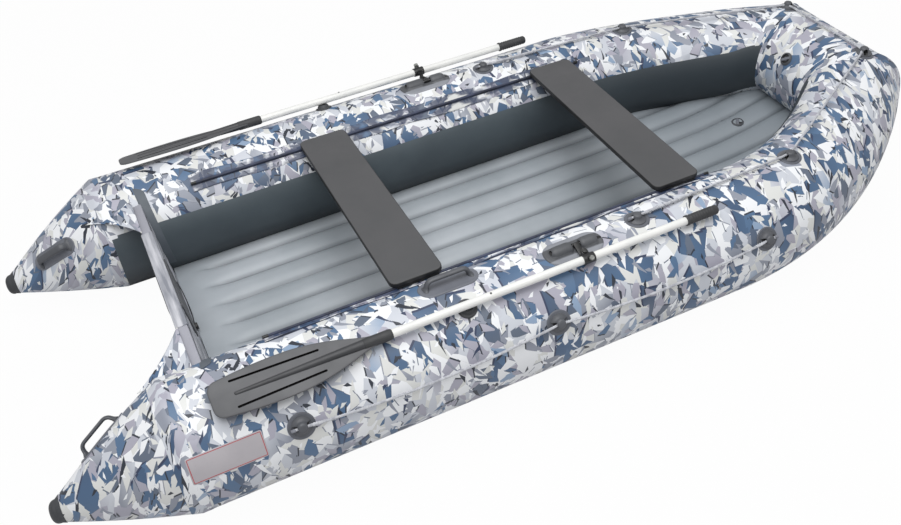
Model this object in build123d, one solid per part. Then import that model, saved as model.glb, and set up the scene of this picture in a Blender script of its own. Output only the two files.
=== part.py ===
from build123d import *
import math
import os

# Inflatable rowing and motor boat with a wooden transom, two seat boards and two stowed oars.
# Millimetres. +X is the bow, +Y is port, +Z is up. The origin is under the middle of the boat,
# on the floor that the side tubes rest on.

# Buoyancy tube
tube_radius = 220.0
tube_offset = 583.0
tube_height = tube_radius
cone_start_x = -1358.0
cone_tip_x = -1752.0
cone_tip_radius = 36.0
cone_tip_offset = 576.0
cone_tip_height = 135.0
cone_middle_taper = 0.45  # share of the taper reached half way down the cone
cap_length = 25.0
cap_step = 10.0

# Bow curve: two tangent arcs in plan, then a mitred corner into the straight cross tube at the
# nose. The tube rises and narrows on the way.
bow_start_x = 695.0
bow_arc_radius = (1242.0, 1372.0)
bow_arc_turn = (21.2, 43.2)
bow_radius = 189.0
sheer_rise = 104.0
sheer_power = 2.7
bow_headings = (0, 7, 14, 21.2, 27, 32, 37)

# Inflatable floor
floor_top = 95.0
floor_bottom = 4.0
floor_half_width = 470.0
floor_rise = ((300, 95), (600, 100), (900, 110), (1115, 120), (1265, 138), (1360, 155), (1450, 172))
floor_nose = ((1585, 190), (1585, 165))
floor_keel = ((1450, 105), (1300, 52), (1150, 20), (1000, 4))
keel_strip_width = 120.0
keel_strip_end_x = 1000.0

# Transom board, leaning aft
transom_front_x = -1170.0
transom_thickness = 35.0
transom_top = 400.0
transom_bottom = 12.0
transom_rake = 5.7
transom_open_half = 267.0
trim_wall = 3.0
trim_depth = 26.0
motor_pad_width = 280.0
motor_pad_height = 170.0
motor_pad_thickness = 8.0
motor_pad_corner = 18.0
gusset_thickness = 3.0
gusset_outer_y = 470.0
gusset_aft = (-1420.0, 462.0, 372.0)
band_width = 30.0
band_angles = (-20.0, 72.0)

# Seat boards and their rails
seat_width = 190.0
seat_half_length = 470.0
seat_thickness = 18.0
seat_top = 437.0
seat_corner = 26.0
aft_seat_x = -474.0
forward_seat_x = 551.0
rail_start_x = -1010.0
rail_end_x = 690.0
rail_angle = 57.0
rail_strip_half_angle = 9.0
rail_strip_thickness = 3.0
bead_radius = 5.0
bead_centre_radius = 227.0
bead_clearance = 0.5
clip_length = 150.0
clip_y = 459.0
clip_width = 26.0
clip_drop = 16.0

# Oars and oarlocks
oar_offset = 682.0
oar_height = 452.0
oar_tilt = 20.0
shaft_radius = 14.0
shaft_aft_x = -690.0
shaft_forward_x = 545.0
socket_aft_x = -745.0
socket_forward_x = -654.0
socket_radius = 17.5
grip_aft_x = 428.0
grip_end_x = 558.0
grip_radius = 17.0
blade_tip_x = -1229.0
blade_half_widths = (
    (-745.0, 23.5),
    (-770.0, 31.0),
    (-805.0, 42.5),
    (-855.0, 55.5),
    (-905.0, 65.0),
    (-955.0, 71.0),
    (-1015.0, 72.5),
    (-1075.0, 71.2),
    (-1135.0, 67.0),
    (-1193.0, 60.8),
)  # half the blade's width at places along the boat
blade_tip_half = 57.0
blade_tip_corner = 34.0
blade_thickness = 7.0
blade_rib_tip_radius = 7.0
lock_x = 45.0
ring_radius = 17.5
ring_length = 42.0
ear_reach = 27.0
ear_width = 22.0
ear_thickness = 12.0
stud_radius = 4.0
pin_radius = 4.0
turning_clearance = 0.08
pin_offset = 600.0
pin_height = 450.0
boss_radius = 22.0
boss_centre_height = 439.0
boss_aft_x = -50.0
boss_forward_x = 125.0
boss_gap = 28.0
hub_length = 26.0
hub_radius = 7.0
arm_width = 20.0
arm_thickness = 5.0
arm_low = -24.5  # underside of the arm, measured from the oar's axis
pin_reach = 77.0  # from the oar's axis in to the fore-and-aft pin
collar_height = 13.0
stud_height = 28.0
socket_hole_radius = 7.0
socket_hole_depth = 22.0
base_thickness = 3.0
base_length = 215.0
base_width = 100.0
knob_direction = 42.0
knob_radius = 9.0
knob_height = 11.0
knob_gap = 7.5
bolt_radius = 3.0
rest_x = -393.0
rest_foot_radius = 33.0
rest_foot_height = 4.0
rest_bottom_radius = 25.0
rest_top_radius = 19.0

# Rigging
rope_radius = 4.0
rope_lift = 13.0
rope_tail = 34.0
eyelet_radius = 36.0
eyelet_height = 25.0
dome_radius = 17.0
side_rope_angle = 153.0
side_rope_low_angle = 159.0  # where the line sags to between two eyelets
side_eyelet_x = (-1005.0, -120.0, 716.0)
bow_eyelet_places = (
    ((301, 581, 440), (1, 0, 0), (0, 0, 1)),
    ((978, 553, 435), (1, -0.15, 0), (-0.04, 0, 1)),
    ((1604, 227, 512), (0.4, -0.92, 0), (0.08, 0.04, 1)),
)

# Handles, valves and plates
handle_bar_radius = 6.5
handle_foot = 4.0
handle_rise = 34.0
carry_handle_x = -400.0
carry_handle_angle = 80.0
carry_handle_size = (212.0, 92.0)
stern_handle_place = (-1562.0, 46.0)
stern_handle_size = (190.0, 78.0)
valve_radius = 24.0
bow_valve_angle = 32.0
floor_valve_place = (1262.0, 48.0, 138.0)
drain_y = 12.0
drain_z = 120.0
plate_x = (-1340.0, -1120.0)
plate_angles = (143.0, 166.0)
tow_direction = (0.79, 0, -0.613)
tow_patch_radius = 52.0
tow_ring_wire = 3.0

port_axis_centre = (tube_offset, tube_height)


def tube_point(angle, radius):
    # Y and Z of a point around the port side tube: 0 degrees is inboard, 90 up, 180 outboard
    turn = math.radians(angle)
    return (
        tube_offset - radius * math.cos(turn),
        tube_height + radius * math.sin(turn),
    )


def starboard(shape):
    return mirror(shape, about=Plane.XZ)


def both_sides(shape):
    return Compound([*shape.solids(), *starboard(shape).solids()])


def circle_at(x, y, z, radius, direction=(1, 0, 0)):
    plane = Plane(origin=(x, y, z), x_dir=(0, 0, 1), z_dir=direction)
    return plane * Circle(radius)


def bow_plan(heading):
    # Middle of the tube where its plan direction has turned this far from straight ahead
    turn = math.radians(heading)
    split = math.radians(bow_arc_turn[0])
    first, second = bow_arc_radius
    outer = min(turn, split)
    x = bow_start_x + first * math.sin(outer)
    y = tube_offset - first * (1 - math.cos(outer))
    if turn > split:
        x += second * (math.sin(turn) - math.sin(split))
        y -= second * (math.cos(split) - math.cos(turn))
    return x, y


def bow_profile(x):
    # Height of the tube's middle, its slope and its radius at this distance along the boat
    nose_x = bow_plan(bow_arc_turn[1])[0]
    share = (x - bow_start_x) / (nose_x - bow_start_x)
    height = tube_height + sheer_rise * share**sheer_power
    slope = sheer_rise * sheer_power * share ** (sheer_power - 1) / (nose_x - bow_start_x)
    radius = tube_radius + (bow_radius - tube_radius) * share
    return height, slope, radius


def bow_section(heading, side):
    x, y = bow_plan(heading)
    z, slope, radius = bow_profile(x)
    turn = math.radians(heading)
    direction = (side * math.cos(turn), -math.sin(turn), side * slope * math.cos(turn))
    return circle_at(x, side * y, z, radius, direction)


def mitre_section(side):
    # Ellipse where the last arc meets the straight cross tube
    x, y = bow_plan(bow_arc_turn[1])
    z, slope, radius = bow_profile(x)
    heading = math.radians((bow_arc_turn[1] + 90) / 2)
    stretched = radius / math.sin(heading)
    direction = (side * math.cos(heading), -math.sin(heading), 0)
    plane = Plane(origin=(x, side * y, z), x_dir=(0, 0, 1), z_dir=direction)
    return plane * Ellipse(radius, stretched)


def nose_centre():
    x, y = bow_plan(bow_arc_turn[1])
    return Vector(x, 0, bow_profile(x)[0])


def cone_ring(x):
    # Offset, height and radius of the stern cone, which is a little fuller towards the front
    share = (cone_start_x - x) / (cone_start_x - cone_tip_x)
    if share < 0.5:
        taper = share * 2 * cone_middle_taper
    else:
        taper = cone_middle_taper + (share - 0.5) * 2 * (1 - cone_middle_taper)
    offset = tube_offset + (cone_tip_offset - tube_offset) * taper
    height = tube_height + (cone_tip_height - tube_height) * taper
    radius = tube_radius + (cone_tip_radius - tube_radius) * taper
    return offset, height, radius


def make_side_tube():
    middle_x = (cone_start_x + cone_tip_x) / 2
    sections = [circle_at(x, *cone_ring(x)) for x in (cone_tip_x, middle_x, cone_start_x)]
    sections.append(circle_at(bow_start_x, tube_offset, tube_height, tube_radius))
    return loft(sections, ruled=True)


def make_bow_tube():
    sections = [bow_section(heading, 1) for heading in bow_headings]
    sections += [mitre_section(1), mitre_section(-1)]
    sections += [bow_section(heading, -1) for heading in reversed(bow_headings)]
    return loft(sections, ruled=True)


def make_cone_cap():
    # Rounded rubber end over the point of the stern cone
    shoulder_radius = cone_tip_radius + 2
    outline = Polyline((0, 0), (0, shoulder_radius), (cap_step, shoulder_radius))
    round_radius = cap_length - cap_step
    rounding = CenterArc((cap_step, shoulder_radius - round_radius), round_radius, 0, 90)
    closing = Polyline(rounding @ 0, (cap_length, 0), (0, 0))
    profile = make_face(Curve() + [outline, rounding, closing])
    dome = revolve(profile, Axis.X)
    return Pos(cone_tip_x, cone_tip_offset, cone_tip_height) * Rot(0, 0, 180) * dome


def transom_plane():
    # Local X runs to port, local Y up the board and local Z forward out of its front face
    return Plane(origin=(transom_front_x, 0, 0), x_dir=(0, 1, 0), z_dir=rake_normal())


def rake_normal():
    lean = math.radians(transom_rake)
    return (math.cos(lean), 0, math.sin(lean))


def make_transom(side_tubes):
    board = Pos(0, (transom_top + transom_bottom) / 2) * Rectangle(
        2 * tube_offset, transom_top - transom_bottom
    )
    solid = extrude(transom_plane() * board, -transom_thickness)
    for tube in side_tubes:
        solid -= tube
    return max(solid.solids(), key=lambda piece: piece.volume)


def make_transom_trim():
    # U-shaped edge cover over the middle of the board's top edge
    outer = Box(
        2 * transom_open_half,
        trim_depth,
        transom_thickness + 2 * trim_wall,
    )
    inner = Pos(0, -trim_wall, 0) * Box(2 * transom_open_half, trim_depth, transom_thickness)
    centre_height = transom_top + trim_wall - trim_depth / 2
    return transom_plane() * Pos(0, centre_height, -transom_thickness / 2) * (outer - inner)


def make_motor_pad(outside):
    pad = Pos(0, transom_top - trim_depth - 2 - motor_pad_height / 2) * RectangleRounded(
        motor_pad_width, motor_pad_height, motor_pad_corner
    )
    if outside:
        return extrude(transom_plane().offset(-transom_thickness) * pad, -motor_pad_thickness)
    return extrude(transom_plane() * pad, motor_pad_thickness)


def make_gusset(side_tube, transom, trim):
    # Flat triangle of fabric from the board's top corner out and aft onto the tube
    lean = math.tan(math.radians(transom_rake)) * transom_top
    back_x = transom_front_x - lean - transom_thickness
    inner = Vector(back_x + 4, transom_open_half, transom_top + 1)
    outer = Vector(back_x + 4, gusset_outer_y, transom_top + 8)
    aft = Vector(*gusset_aft)
    sheet = make_face(Polyline(inner, outer, aft, close=True))
    solid = extrude(sheet, gusset_thickness, dir=(0, 0, 1))
    solid = solid - side_tube - transom - trim
    return max(solid.solids(), key=lambda piece: piece.volume)


def make_floor(side_tubes, bow_tube):
    # Side view of the inflated floor: flat to the forward seat, then rising under the bow tube
    lean = math.tan(math.radians(transom_rake))
    stern_low = (transom_front_x - lean * floor_bottom, floor_bottom)
    stern_high = (transom_front_x - lean * floor_top, floor_top)
    outline = Polyline(stern_high, *floor_rise, *floor_nose, *floor_keel, stern_low, close=True)
    slab = extrude(Plane.XZ * make_face(outline), floor_half_width, both=True)
    plan = Plane.XY * make_face(floor_outline())
    solid = slab & extrude(plan, tube_height)
    for tube in (*side_tubes, bow_tube):
        solid -= tube
    return max(solid.solids(), key=lambda piece: piece.volume)


def floor_outline():
    # Plan outline just inside the tube's centre line, so that the tubes trim the floor to fit
    rear_x = transom_front_x - transom_thickness
    points = [(rear_x, floor_half_width), (bow_start_x, floor_half_width)]
    for heading in (*bow_headings[2:], bow_arc_turn[1]):
        x, y = bow_plan(heading)
        points.append((x - 20, min(y, floor_half_width)))
    mirrored = [(x, -y) for x, y in reversed(points)]
    return Polyline(*points, *mirrored, close=True)


def make_keel_strip():
    start_x = transom_front_x + 10
    length = keel_strip_end_x - start_x
    return Pos(start_x + length / 2, 0, floor_bottom / 2) * Box(length, keel_strip_width, floor_bottom)


def tube_patch(x_start, x_end, angle_start, angle_end, thickness):
    # Curved sheet lying on the port side tube
    inner_radius = tube_radius
    outer_radius = tube_radius + thickness
    start = 180 - angle_end
    sweep = angle_end - angle_start
    outer = CenterArc(port_axis_centre, outer_radius, start, sweep)
    inner = CenterArc(port_axis_centre, inner_radius, start, sweep)
    ends = [Line(outer @ 0, inner @ 0), Line(outer @ 1, inner @ 1)]
    face = make_face(Curve() + [outer, inner, *ends])
    return extrude(Plane.YZ.offset(x_start) * face, x_end - x_start)


def make_transom_band(transom, floor):
    # Joint tape on the tube just ahead of the board
    lean = math.tan(math.radians(transom_rake)) * transom_top
    band = tube_patch(transom_front_x - lean, transom_front_x + band_width, *band_angles, 2)
    band = band - transom - floor
    return max(band.solids(), key=lambda piece: piece.volume)


def make_seat_rail():
    # Fabric strip with a round bead that the seat board's clips slide on
    strip = tube_patch(
        rail_start_x,
        rail_end_x,
        rail_angle - rail_strip_half_angle,
        rail_angle + rail_strip_half_angle,
        rail_strip_thickness,
    )
    y, z = tube_point(rail_angle, bead_centre_radius)
    start = Plane.YZ.offset(rail_start_x) * Pos(y, z) * Circle(bead_radius)
    return strip + extrude(start, rail_end_x - rail_start_x)


def make_seat_board(x):
    outline = RectangleRounded(seat_width, 2 * seat_half_length, seat_corner)
    return extrude(Plane.XY.offset(seat_top - seat_thickness) * Pos(x, 0) * outline, seat_thickness)


def make_seat_clip(x):
    # Channel under each end of the board, open around the rail's bead
    underside = seat_top - seat_thickness
    block = Pos(x, clip_y, underside - clip_drop / 2) * Box(clip_length, clip_width, clip_drop)
    y, z = tube_point(rail_angle, bead_centre_radius)
    slot = Plane.YZ.offset(x - clip_length) * Pos(y, z) * Circle(bead_radius + bead_clearance)
    tube = Plane.YZ.offset(x - clip_length) * Pos(*port_axis_centre) * Circle(
        tube_radius + rail_strip_thickness + 1.5
    )
    clip = block - extrude(slot, 2 * clip_length) - extrude(tube, 2 * clip_length)
    return max(clip.solids(), key=lambda piece: piece.volume)


def oar_plane():
    # The plane the oar swings in: local X aft, local Y inboard, local Z out of the tube
    tilt = math.radians(oar_tilt)
    return Plane(
        origin=(lock_x, oar_offset, oar_height),
        x_dir=(-1, 0, 0),
        z_dir=(0, math.sin(tilt), math.cos(tilt)),
    )


def along_oar(x_start, x_end, radius, end_radius=None):
    if end_radius is None:
        start = Plane.YZ.offset(x_start) * Pos(oar_offset, oar_height) * Circle(radius)
        return extrude(start, x_end - x_start)
    start = circle_at(x_start, oar_offset, oar_height, radius)
    end = circle_at(x_end, oar_offset, oar_height, end_radius)
    return loft([start, end], ruled=True)


def make_oar_shaft():
    return along_oar(shaft_aft_x, shaft_forward_x, shaft_radius)


def make_oar_socket():
    sleeve = along_oar(socket_aft_x, socket_forward_x, socket_radius)
    return sleeve - along_oar(shaft_aft_x, socket_forward_x, shaft_radius)


def make_oar_grip():
    grip = along_oar(grip_aft_x, grip_end_x, grip_radius)
    end_edges = grip.edges().group_by(Axis.X)[-1]
    grip = fillet(end_edges, 6)
    return grip - along_oar(grip_aft_x, shaft_forward_x, shaft_radius)


def make_oar_blade():
    # Flat leaf-shaped blade with a tapering rib down its middle, ending at the socket
    tip = lock_x - blade_tip_x
    upper = Spline(*[(lock_x - x, half) for x, half in blade_half_widths])
    lower = Spline(*[(lock_x - x, -half) for x, half in blade_half_widths])
    end = Polyline(upper @ 1, (tip, blade_tip_half), (tip, -blade_tip_half), lower @ 1)
    neck = Line(lower @ 0, upper @ 0)
    face = make_face(Curve() + [upper, end, lower, neck])
    tip_corners = face.vertices().group_by(Axis.X)[-1]
    face = fillet(tip_corners, blade_tip_corner)
    plate = extrude(oar_plane() * face, blade_thickness / 2, both=True)
    rib = along_oar(blade_tip_x + 30, socket_aft_x, blade_rib_tip_radius, socket_radius)
    return plate + rib


def make_oar_clamp():
    # Ring round the shaft with a pierced ear on its inboard side and a lug for the knob
    ring = along_oar(lock_x - ring_length / 2, lock_x + ring_length / 2, ring_radius)
    ear_shape = Pos(0, ear_reach / 2) * Rectangle(ear_width, ear_reach)
    ear_shape += Pos(0, ear_reach) * Circle(ear_width / 2)
    ear = extrude(oar_plane() * ear_shape, ear_thickness / 2, both=True)
    lug = Pos(0, 0, ring_radius) * Box(16, 16, 14)
    body = ring + ear + knob_frame() * lug
    body -= along_oar(lock_x - ring_length, lock_x + ring_length, shaft_radius)
    stud_hole = Pos(0, ear_reach) * Circle(stud_radius + turning_clearance)
    body -= extrude(oar_plane() * stud_hole, ear_thickness, both=True)
    bottom = (Align.CENTER, Align.CENTER, Align.MIN)
    knob_hole = Pos(0, 0, ring_radius - 1) * Cylinder(bolt_radius + turning_clearance, 30, align=bottom)
    body -= knob_frame() * knob_hole
    return max(body.solids(), key=lambda piece: piece.volume)


def knob_frame():
    # Local Z runs out of the ring, up and outboard, along the knob's bolt
    turn = math.radians(knob_direction)
    return Plane(
        origin=(lock_x, oar_offset, oar_height),
        x_dir=(1, 0, 0),
        z_dir=(0, math.cos(turn), math.sin(turn)),
    )


def make_clamp_knob():
    bottom = (Align.CENTER, Align.CENTER, Align.MIN)
    head = Pos(0, 0, ring_radius + knob_gap) * Cylinder(knob_radius, knob_height, align=bottom)
    head = fillet(head.edges().group_by(Axis.Z)[-1], 3)
    bolt = Pos(0, 0, ring_radius) * Cylinder(bolt_radius, knob_gap, align=bottom)
    return knob_frame() * (head + bolt)


def make_oarlock_yoke():
    # Hub on the fore-and-aft pin, with an arm out to the stud that the oar clamp turns on
    hub = Plane.YZ.offset(lock_x - hub_length / 2) * Pos(pin_offset, pin_height) * Circle(hub_radius)
    hub = extrude(hub, hub_length)
    reach = pin_reach - ear_reach
    arm_shape = Pos(0, ear_reach + reach / 2) * Rectangle(arm_width, reach)
    arm_shape += Pos(0, ear_reach) * Circle(arm_width / 2)
    arm = extrude(oar_plane().offset(arm_low) * arm_shape, arm_thickness)
    above = oar_plane().offset(arm_low + arm_thickness) * Pos(0, ear_reach)
    collar = extrude(above * Circle(8), collar_height)
    stud = extrude(above * Circle(stud_radius), stud_height)
    head = extrude(oar_plane().offset(6.5) * Pos(0, ear_reach) * Circle(8), 4)
    body = hub + arm + collar + stud + head
    return body - along_pin(lock_x - hub_length, lock_x + hub_length, pin_radius + turning_clearance)


def make_oarlock_base(side_tube):
    # Rubber flange on the tube with a low barrel, split by a gap for the yoke's hub
    middle_x = (boss_aft_x + boss_forward_x) / 2
    lean = math.degrees(math.atan2(pin_offset - tube_offset, pin_height - tube_height))
    foot = Pos(middle_x, tube_offset, tube_height) * Rot(-lean, 0, 0) * Pos(0, 0, tube_radius - 25)
    flange = extrude(foot * SlotOverall(base_length, base_width), 60)
    skin = tube_patch(middle_x - base_length, middle_x + base_length, 50, 140, base_thickness)
    flange &= skin
    barrel = Cylinder(boss_radius, boss_forward_x - boss_aft_x)
    barrel = fillet(barrel.edges(), 12)
    barrel = Pos(middle_x, pin_offset, boss_centre_height) * Rot(0, 90, 0) * barrel
    gap = Pos(lock_x, pin_offset, boss_centre_height + 42) * Box(boss_gap, 90, 80)
    body = flange + (barrel - side_tube)
    body -= gap - skin
    body -= along_pin(boss_aft_x - 10, boss_aft_x + socket_hole_depth, socket_hole_radius)
    body -= along_pin(boss_aft_x, boss_forward_x + 10, pin_radius)
    return body - side_tube


def along_pin(x_start, x_end, radius):
    circle = Plane.YZ.offset(x_start) * Pos(pin_offset, pin_height) * Circle(radius)
    return extrude(circle, x_end - x_start)


def make_oarlock_pin():
    return along_pin(boss_aft_x + socket_hole_depth, boss_forward_x - 4, pin_radius)


def make_oar_rest(side_tube):
    # Rubber foot that ends just under the oar shaft
    lean = math.degrees(math.atan2(oar_offset - tube_offset, oar_height - tube_height))
    distance = math.hypot(oar_offset - tube_offset, oar_height - tube_height)
    frame = Pos(rest_x, tube_offset, tube_height) * Rot(-lean, 0, 0)
    bottom = (Align.CENTER, Align.CENTER, Align.MIN)
    foot = Pos(0, 0, tube_radius - 20) * Cylinder(rest_foot_radius, 20 + rest_foot_height, align=bottom)
    rise = distance - shaft_radius - tube_radius - 2
    post = Cone(rest_bottom_radius, rest_top_radius, rise + 5, align=bottom)
    return frame * (foot + Pos(0, 0, tube_radius - 5) * post) - side_tube


def make_tube_handle(size, cutter):
    # Oval rubber foot with a raised grip bar, built on the local XY plane and then placed
    length, width = size
    foot = extrude(Plane.XY.offset(-30) * SlotOverall(length, width), 30 + handle_foot)
    reach = length / 2 - 30
    inner = reach - 6
    path = FilletPolyline(
        (-reach, 0, 0), (-inner, 0, handle_rise), (inner, 0, handle_rise), (reach, 0, 0), radius=14
    )
    return cutter(foot + rope_along(path, handle_bar_radius))


def handle_frame(x, y, z, forward, outward):
    return Plane(origin=(x, y, z), x_dir=forward, z_dir=outward)


def make_carry_handle(side_tube):
    y, z = tube_point(carry_handle_angle, tube_radius)
    turn = math.radians(carry_handle_angle)
    frame = handle_frame(carry_handle_x, y, z, (1, 0, 0), (0, -math.cos(turn), math.sin(turn)))
    return make_tube_handle(carry_handle_size, lambda shape: frame * shape - side_tube)


def cone_point(x, angle):
    offset, height, radius = cone_ring(x)
    turn = math.radians(angle)
    return Vector(x, offset - radius * math.cos(turn), height + radius * math.sin(turn))


def cone_frame(x, angle):
    # Tangent plane on the port stern cone at this station and angle round it
    surface = cone_point(x, angle)
    forward = (surface - cone_point(x - 60, angle)).normalized()
    turn = math.radians(angle)
    around = Vector(0, math.sin(turn), math.cos(turn))
    outward = forward.cross(around).normalized()
    if outward.Z < 0:
        outward = outward * -1
    return handle_frame(surface.X, surface.Y, surface.Z, forward, outward)


def make_stern_handle(side_tube):
    frame = cone_frame(*stern_handle_place)
    return make_tube_handle(stern_handle_size, lambda shape: frame * shape - side_tube)


def side_rope_path():
    high = tube_point(side_rope_angle, tube_radius + rope_lift)
    low = tube_point(side_rope_low_angle, tube_radius + rope_lift)
    aft, middle, forward = side_eyelet_x
    return FilletPolyline(
        (aft - rope_tail, *high),
        (aft, *high),
        ((aft + middle) / 2, *low),
        (middle, *high),
        ((middle + forward) / 2, *low),
        (forward, *high),
        (forward + rope_tail, *high),
        radius=[200, 3000, 300, 3000, 200],
    )


def bow_rope_path():
    through = []
    for (x, y, z), forward, outward in bow_eyelet_places:
        through.append((x, y, z + rope_lift))
    x, y, z = through[0]
    port = [(x - rope_tail, y, z), *through[1:]]
    mirrored = [(x, -y, z) for x, y, z in reversed(port)]
    return FilletPolyline(*port, *mirrored, radius=40)


def rope_along(path, radius):
    start = Plane(origin=path @ 0, z_dir=path % 0)
    return sweep(start * Circle(radius), path=path)


def dome_at(origin, forward, outward):
    frame = Plane(origin=origin, x_dir=forward, z_dir=outward)
    bottom = (Align.CENTER, Align.CENTER, Align.MIN)
    foot = Pos(0, 0, -14) * Cylinder(eyelet_radius, 17, align=bottom)
    dome = Pos(0, 0, -10) * Cylinder(dome_radius, eyelet_height + 10, align=bottom)
    dome = fillet(dome.edges().group_by(Axis.Z)[-1], 9)
    return frame * (foot + dome)


def make_side_eyelets(side_tube, bow_tube, rope):
    turn = math.radians(side_rope_angle)
    outward = (0, -math.cos(turn), math.sin(turn))
    y, z = tube_point(side_rope_angle, tube_radius)
    eyelets = []
    for x in side_eyelet_x:
        solid = dome_at((x, y, z), (1, 0, 0), outward) - side_tube - bow_tube - rope
        eyelets.append(max(solid.solids(), key=lambda piece: piece.volume))
    return eyelets


def make_bow_eyelets(side_tube, bow_tube, rope):
    eyelets = []
    for origin, forward, outward in bow_eyelet_places:
        out = Vector(*outward).normalized()
        along = Vector(*forward)
        along = (along - out * along.dot(out)).normalized()
        solid = dome_at(origin, along, out) - side_tube - bow_tube - rope
        eyelets.append(max(solid.solids(), key=lambda piece: piece.volume))
    return eyelets


def make_valve(origin, outward, cutters):
    frame = Plane(origin=origin, z_dir=outward)
    bottom = (Align.CENTER, Align.CENTER, Align.MIN)
    flange = Pos(0, 0, -12) * Cylinder(valve_radius, 15, align=bottom)
    cap = Pos(0, 0, 3) * Cylinder(valve_radius - 6, 5, align=bottom)
    slot = Pos(0, 0, 8) * Box(2 * valve_radius - 18, 5, 4)
    solid = frame * (flange + cap - slot)
    for cutter in cutters:
        solid -= cutter
    return max(solid.solids(), key=lambda piece: piece.volume)


def make_drain_plug():
    frame = transom_plane()
    bottom = (Align.CENTER, Align.CENTER, Align.MIN)
    plug = Pos(drain_y, drain_z, 0) * Cylinder(19, 6, align=bottom)
    cap = Pos(drain_y, drain_z, 6) * Cylinder(13, 8, align=bottom)
    return frame * (plug + cap)


def make_drain_flap():
    frame = transom_plane()
    top = (Align.CENTER, Align.CENTER, Align.MAX)
    return frame * Pos(drain_y, drain_z, -transom_thickness) * Cylinder(23, 7, align=top)


def tow_frame():
    direction = Vector(*tow_direction)
    return Plane(origin=nose_centre() + direction * bow_radius, z_dir=direction)


def make_tow_patch(bow_tube):
    frame = tow_frame()
    patch = extrude(frame.offset(-60) * Circle(tow_patch_radius), 64)
    loop = Pos(0, 0, 6) * Box(20, 14, 10)
    body = patch - bow_tube
    body += frame * loop - bow_tube
    body = max(body.solids(), key=lambda piece: piece.volume)
    return body - frame * Pos(0, 0, 7) * Rot(0, 90, 0) * Cylinder(tow_ring_wire + 0.2, 60)


def make_tow_ring():
    path = FilletPolyline(
        (-24, 0, 7), (24, 0, 7), (24, -34, 7), (-24, -34, 7), radius=12, close=True
    )
    return tow_frame() * rope_along(path, tow_ring_wire)


def build_parts():
    port_tube = make_side_tube()
    starboard_tube = starboard(port_tube)
    side_tubes = (port_tube, starboard_tube)
    bow_tube = make_bow_tube()
    transom = make_transom(side_tubes)
    trim = make_transom_trim()
    floor = make_floor(side_tubes, bow_tube)
    side_rope = rope_along(side_rope_path(), rope_radius)
    side_tunnel = rope_along(side_rope_path(), rope_radius + 1)
    bow_rope = rope_along(bow_rope_path(), rope_radius)
    bow_tunnel = rope_along(bow_rope_path(), rope_radius + 1)
    parts = {
        "side_tube_port": port_tube,
        "side_tube_starboard": starboard_tube,
        "bow_tube": bow_tube,
        "cone_caps": both_sides(make_cone_cap()),
        "inflatable_floor": floor,
        "keel_strip": make_keel_strip(),
        "transom_board": transom,
        "transom_trim": trim,
        "motor_pad_outer": make_motor_pad(True),
        "motor_pad_inner": make_motor_pad(False),
        "transom_gussets": both_sides(make_gusset(port_tube, transom, trim)),
        "transom_bands": both_sides(make_transom_band(transom, floor)),
        "drain_plug": make_drain_plug(),
        "drain_flap": make_drain_flap(),
        "seat_rails": both_sides(make_seat_rail()),
        "carry_handle": starboard(make_carry_handle(port_tube)),
        "stern_handles": both_sides(make_stern_handle(port_tube)),
        "badge_plates": both_sides(tube_patch(*plate_x, *plate_angles, 2)),
        "side_lifelines": both_sides(side_rope),
        "bow_lifeline": bow_rope,
        "side_eyelets": both_sides(Compound(make_side_eyelets(port_tube, bow_tube, side_tunnel))),
        "bow_eyelets": both_sides(Compound(make_bow_eyelets(port_tube, bow_tube, bow_tunnel))),
        "tow_patch": make_tow_patch(bow_tube),
        "tow_ring": make_tow_ring(),
        "oar_rests": both_sides(make_oar_rest(port_tube)),
    }
    valve_turn = math.radians(bow_valve_angle)
    valve_out = Vector(-math.cos(valve_turn), 0, math.sin(valve_turn))
    parts["bow_valve"] = make_valve(nose_centre() + valve_out * bow_radius, valve_out, [bow_tube])
    parts["floor_valve"] = make_valve(floor_valve_place, (-0.12, 0, 1), [floor])
    for name, x in (("aft", aft_seat_x), ("forward", forward_seat_x)):
        parts[f"seat_board_{name}"] = make_seat_board(x)
        parts[f"seat_clips_{name}"] = both_sides(make_seat_clip(x))
    oar_parts = {
        "oarlock_base": make_oarlock_base(port_tube),
        "oarlock_pin": make_oarlock_pin(),
        "oarlock_yoke": make_oarlock_yoke(),
        "oar_clamp": make_oar_clamp(),
        "clamp_knob": make_clamp_knob(),
        "oar_shaft": make_oar_shaft(),
        "oar_socket": make_oar_socket(),
        "oar_grip": make_oar_grip(),
        "oar_blade": make_oar_blade(),
    }
    for name, shape in oar_parts.items():
        parts[f"{name}_port"] = shape
        parts[f"{name}_starboard"] = starboard(shape)
    return parts


os.makedirs("parts", exist_ok=True)
for name, shape in build_parts().items():
    export_step(shape, f"parts/{name}.step")
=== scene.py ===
import math

import bmesh
import bpy
from mathutils import Matrix, Vector, noise


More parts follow.
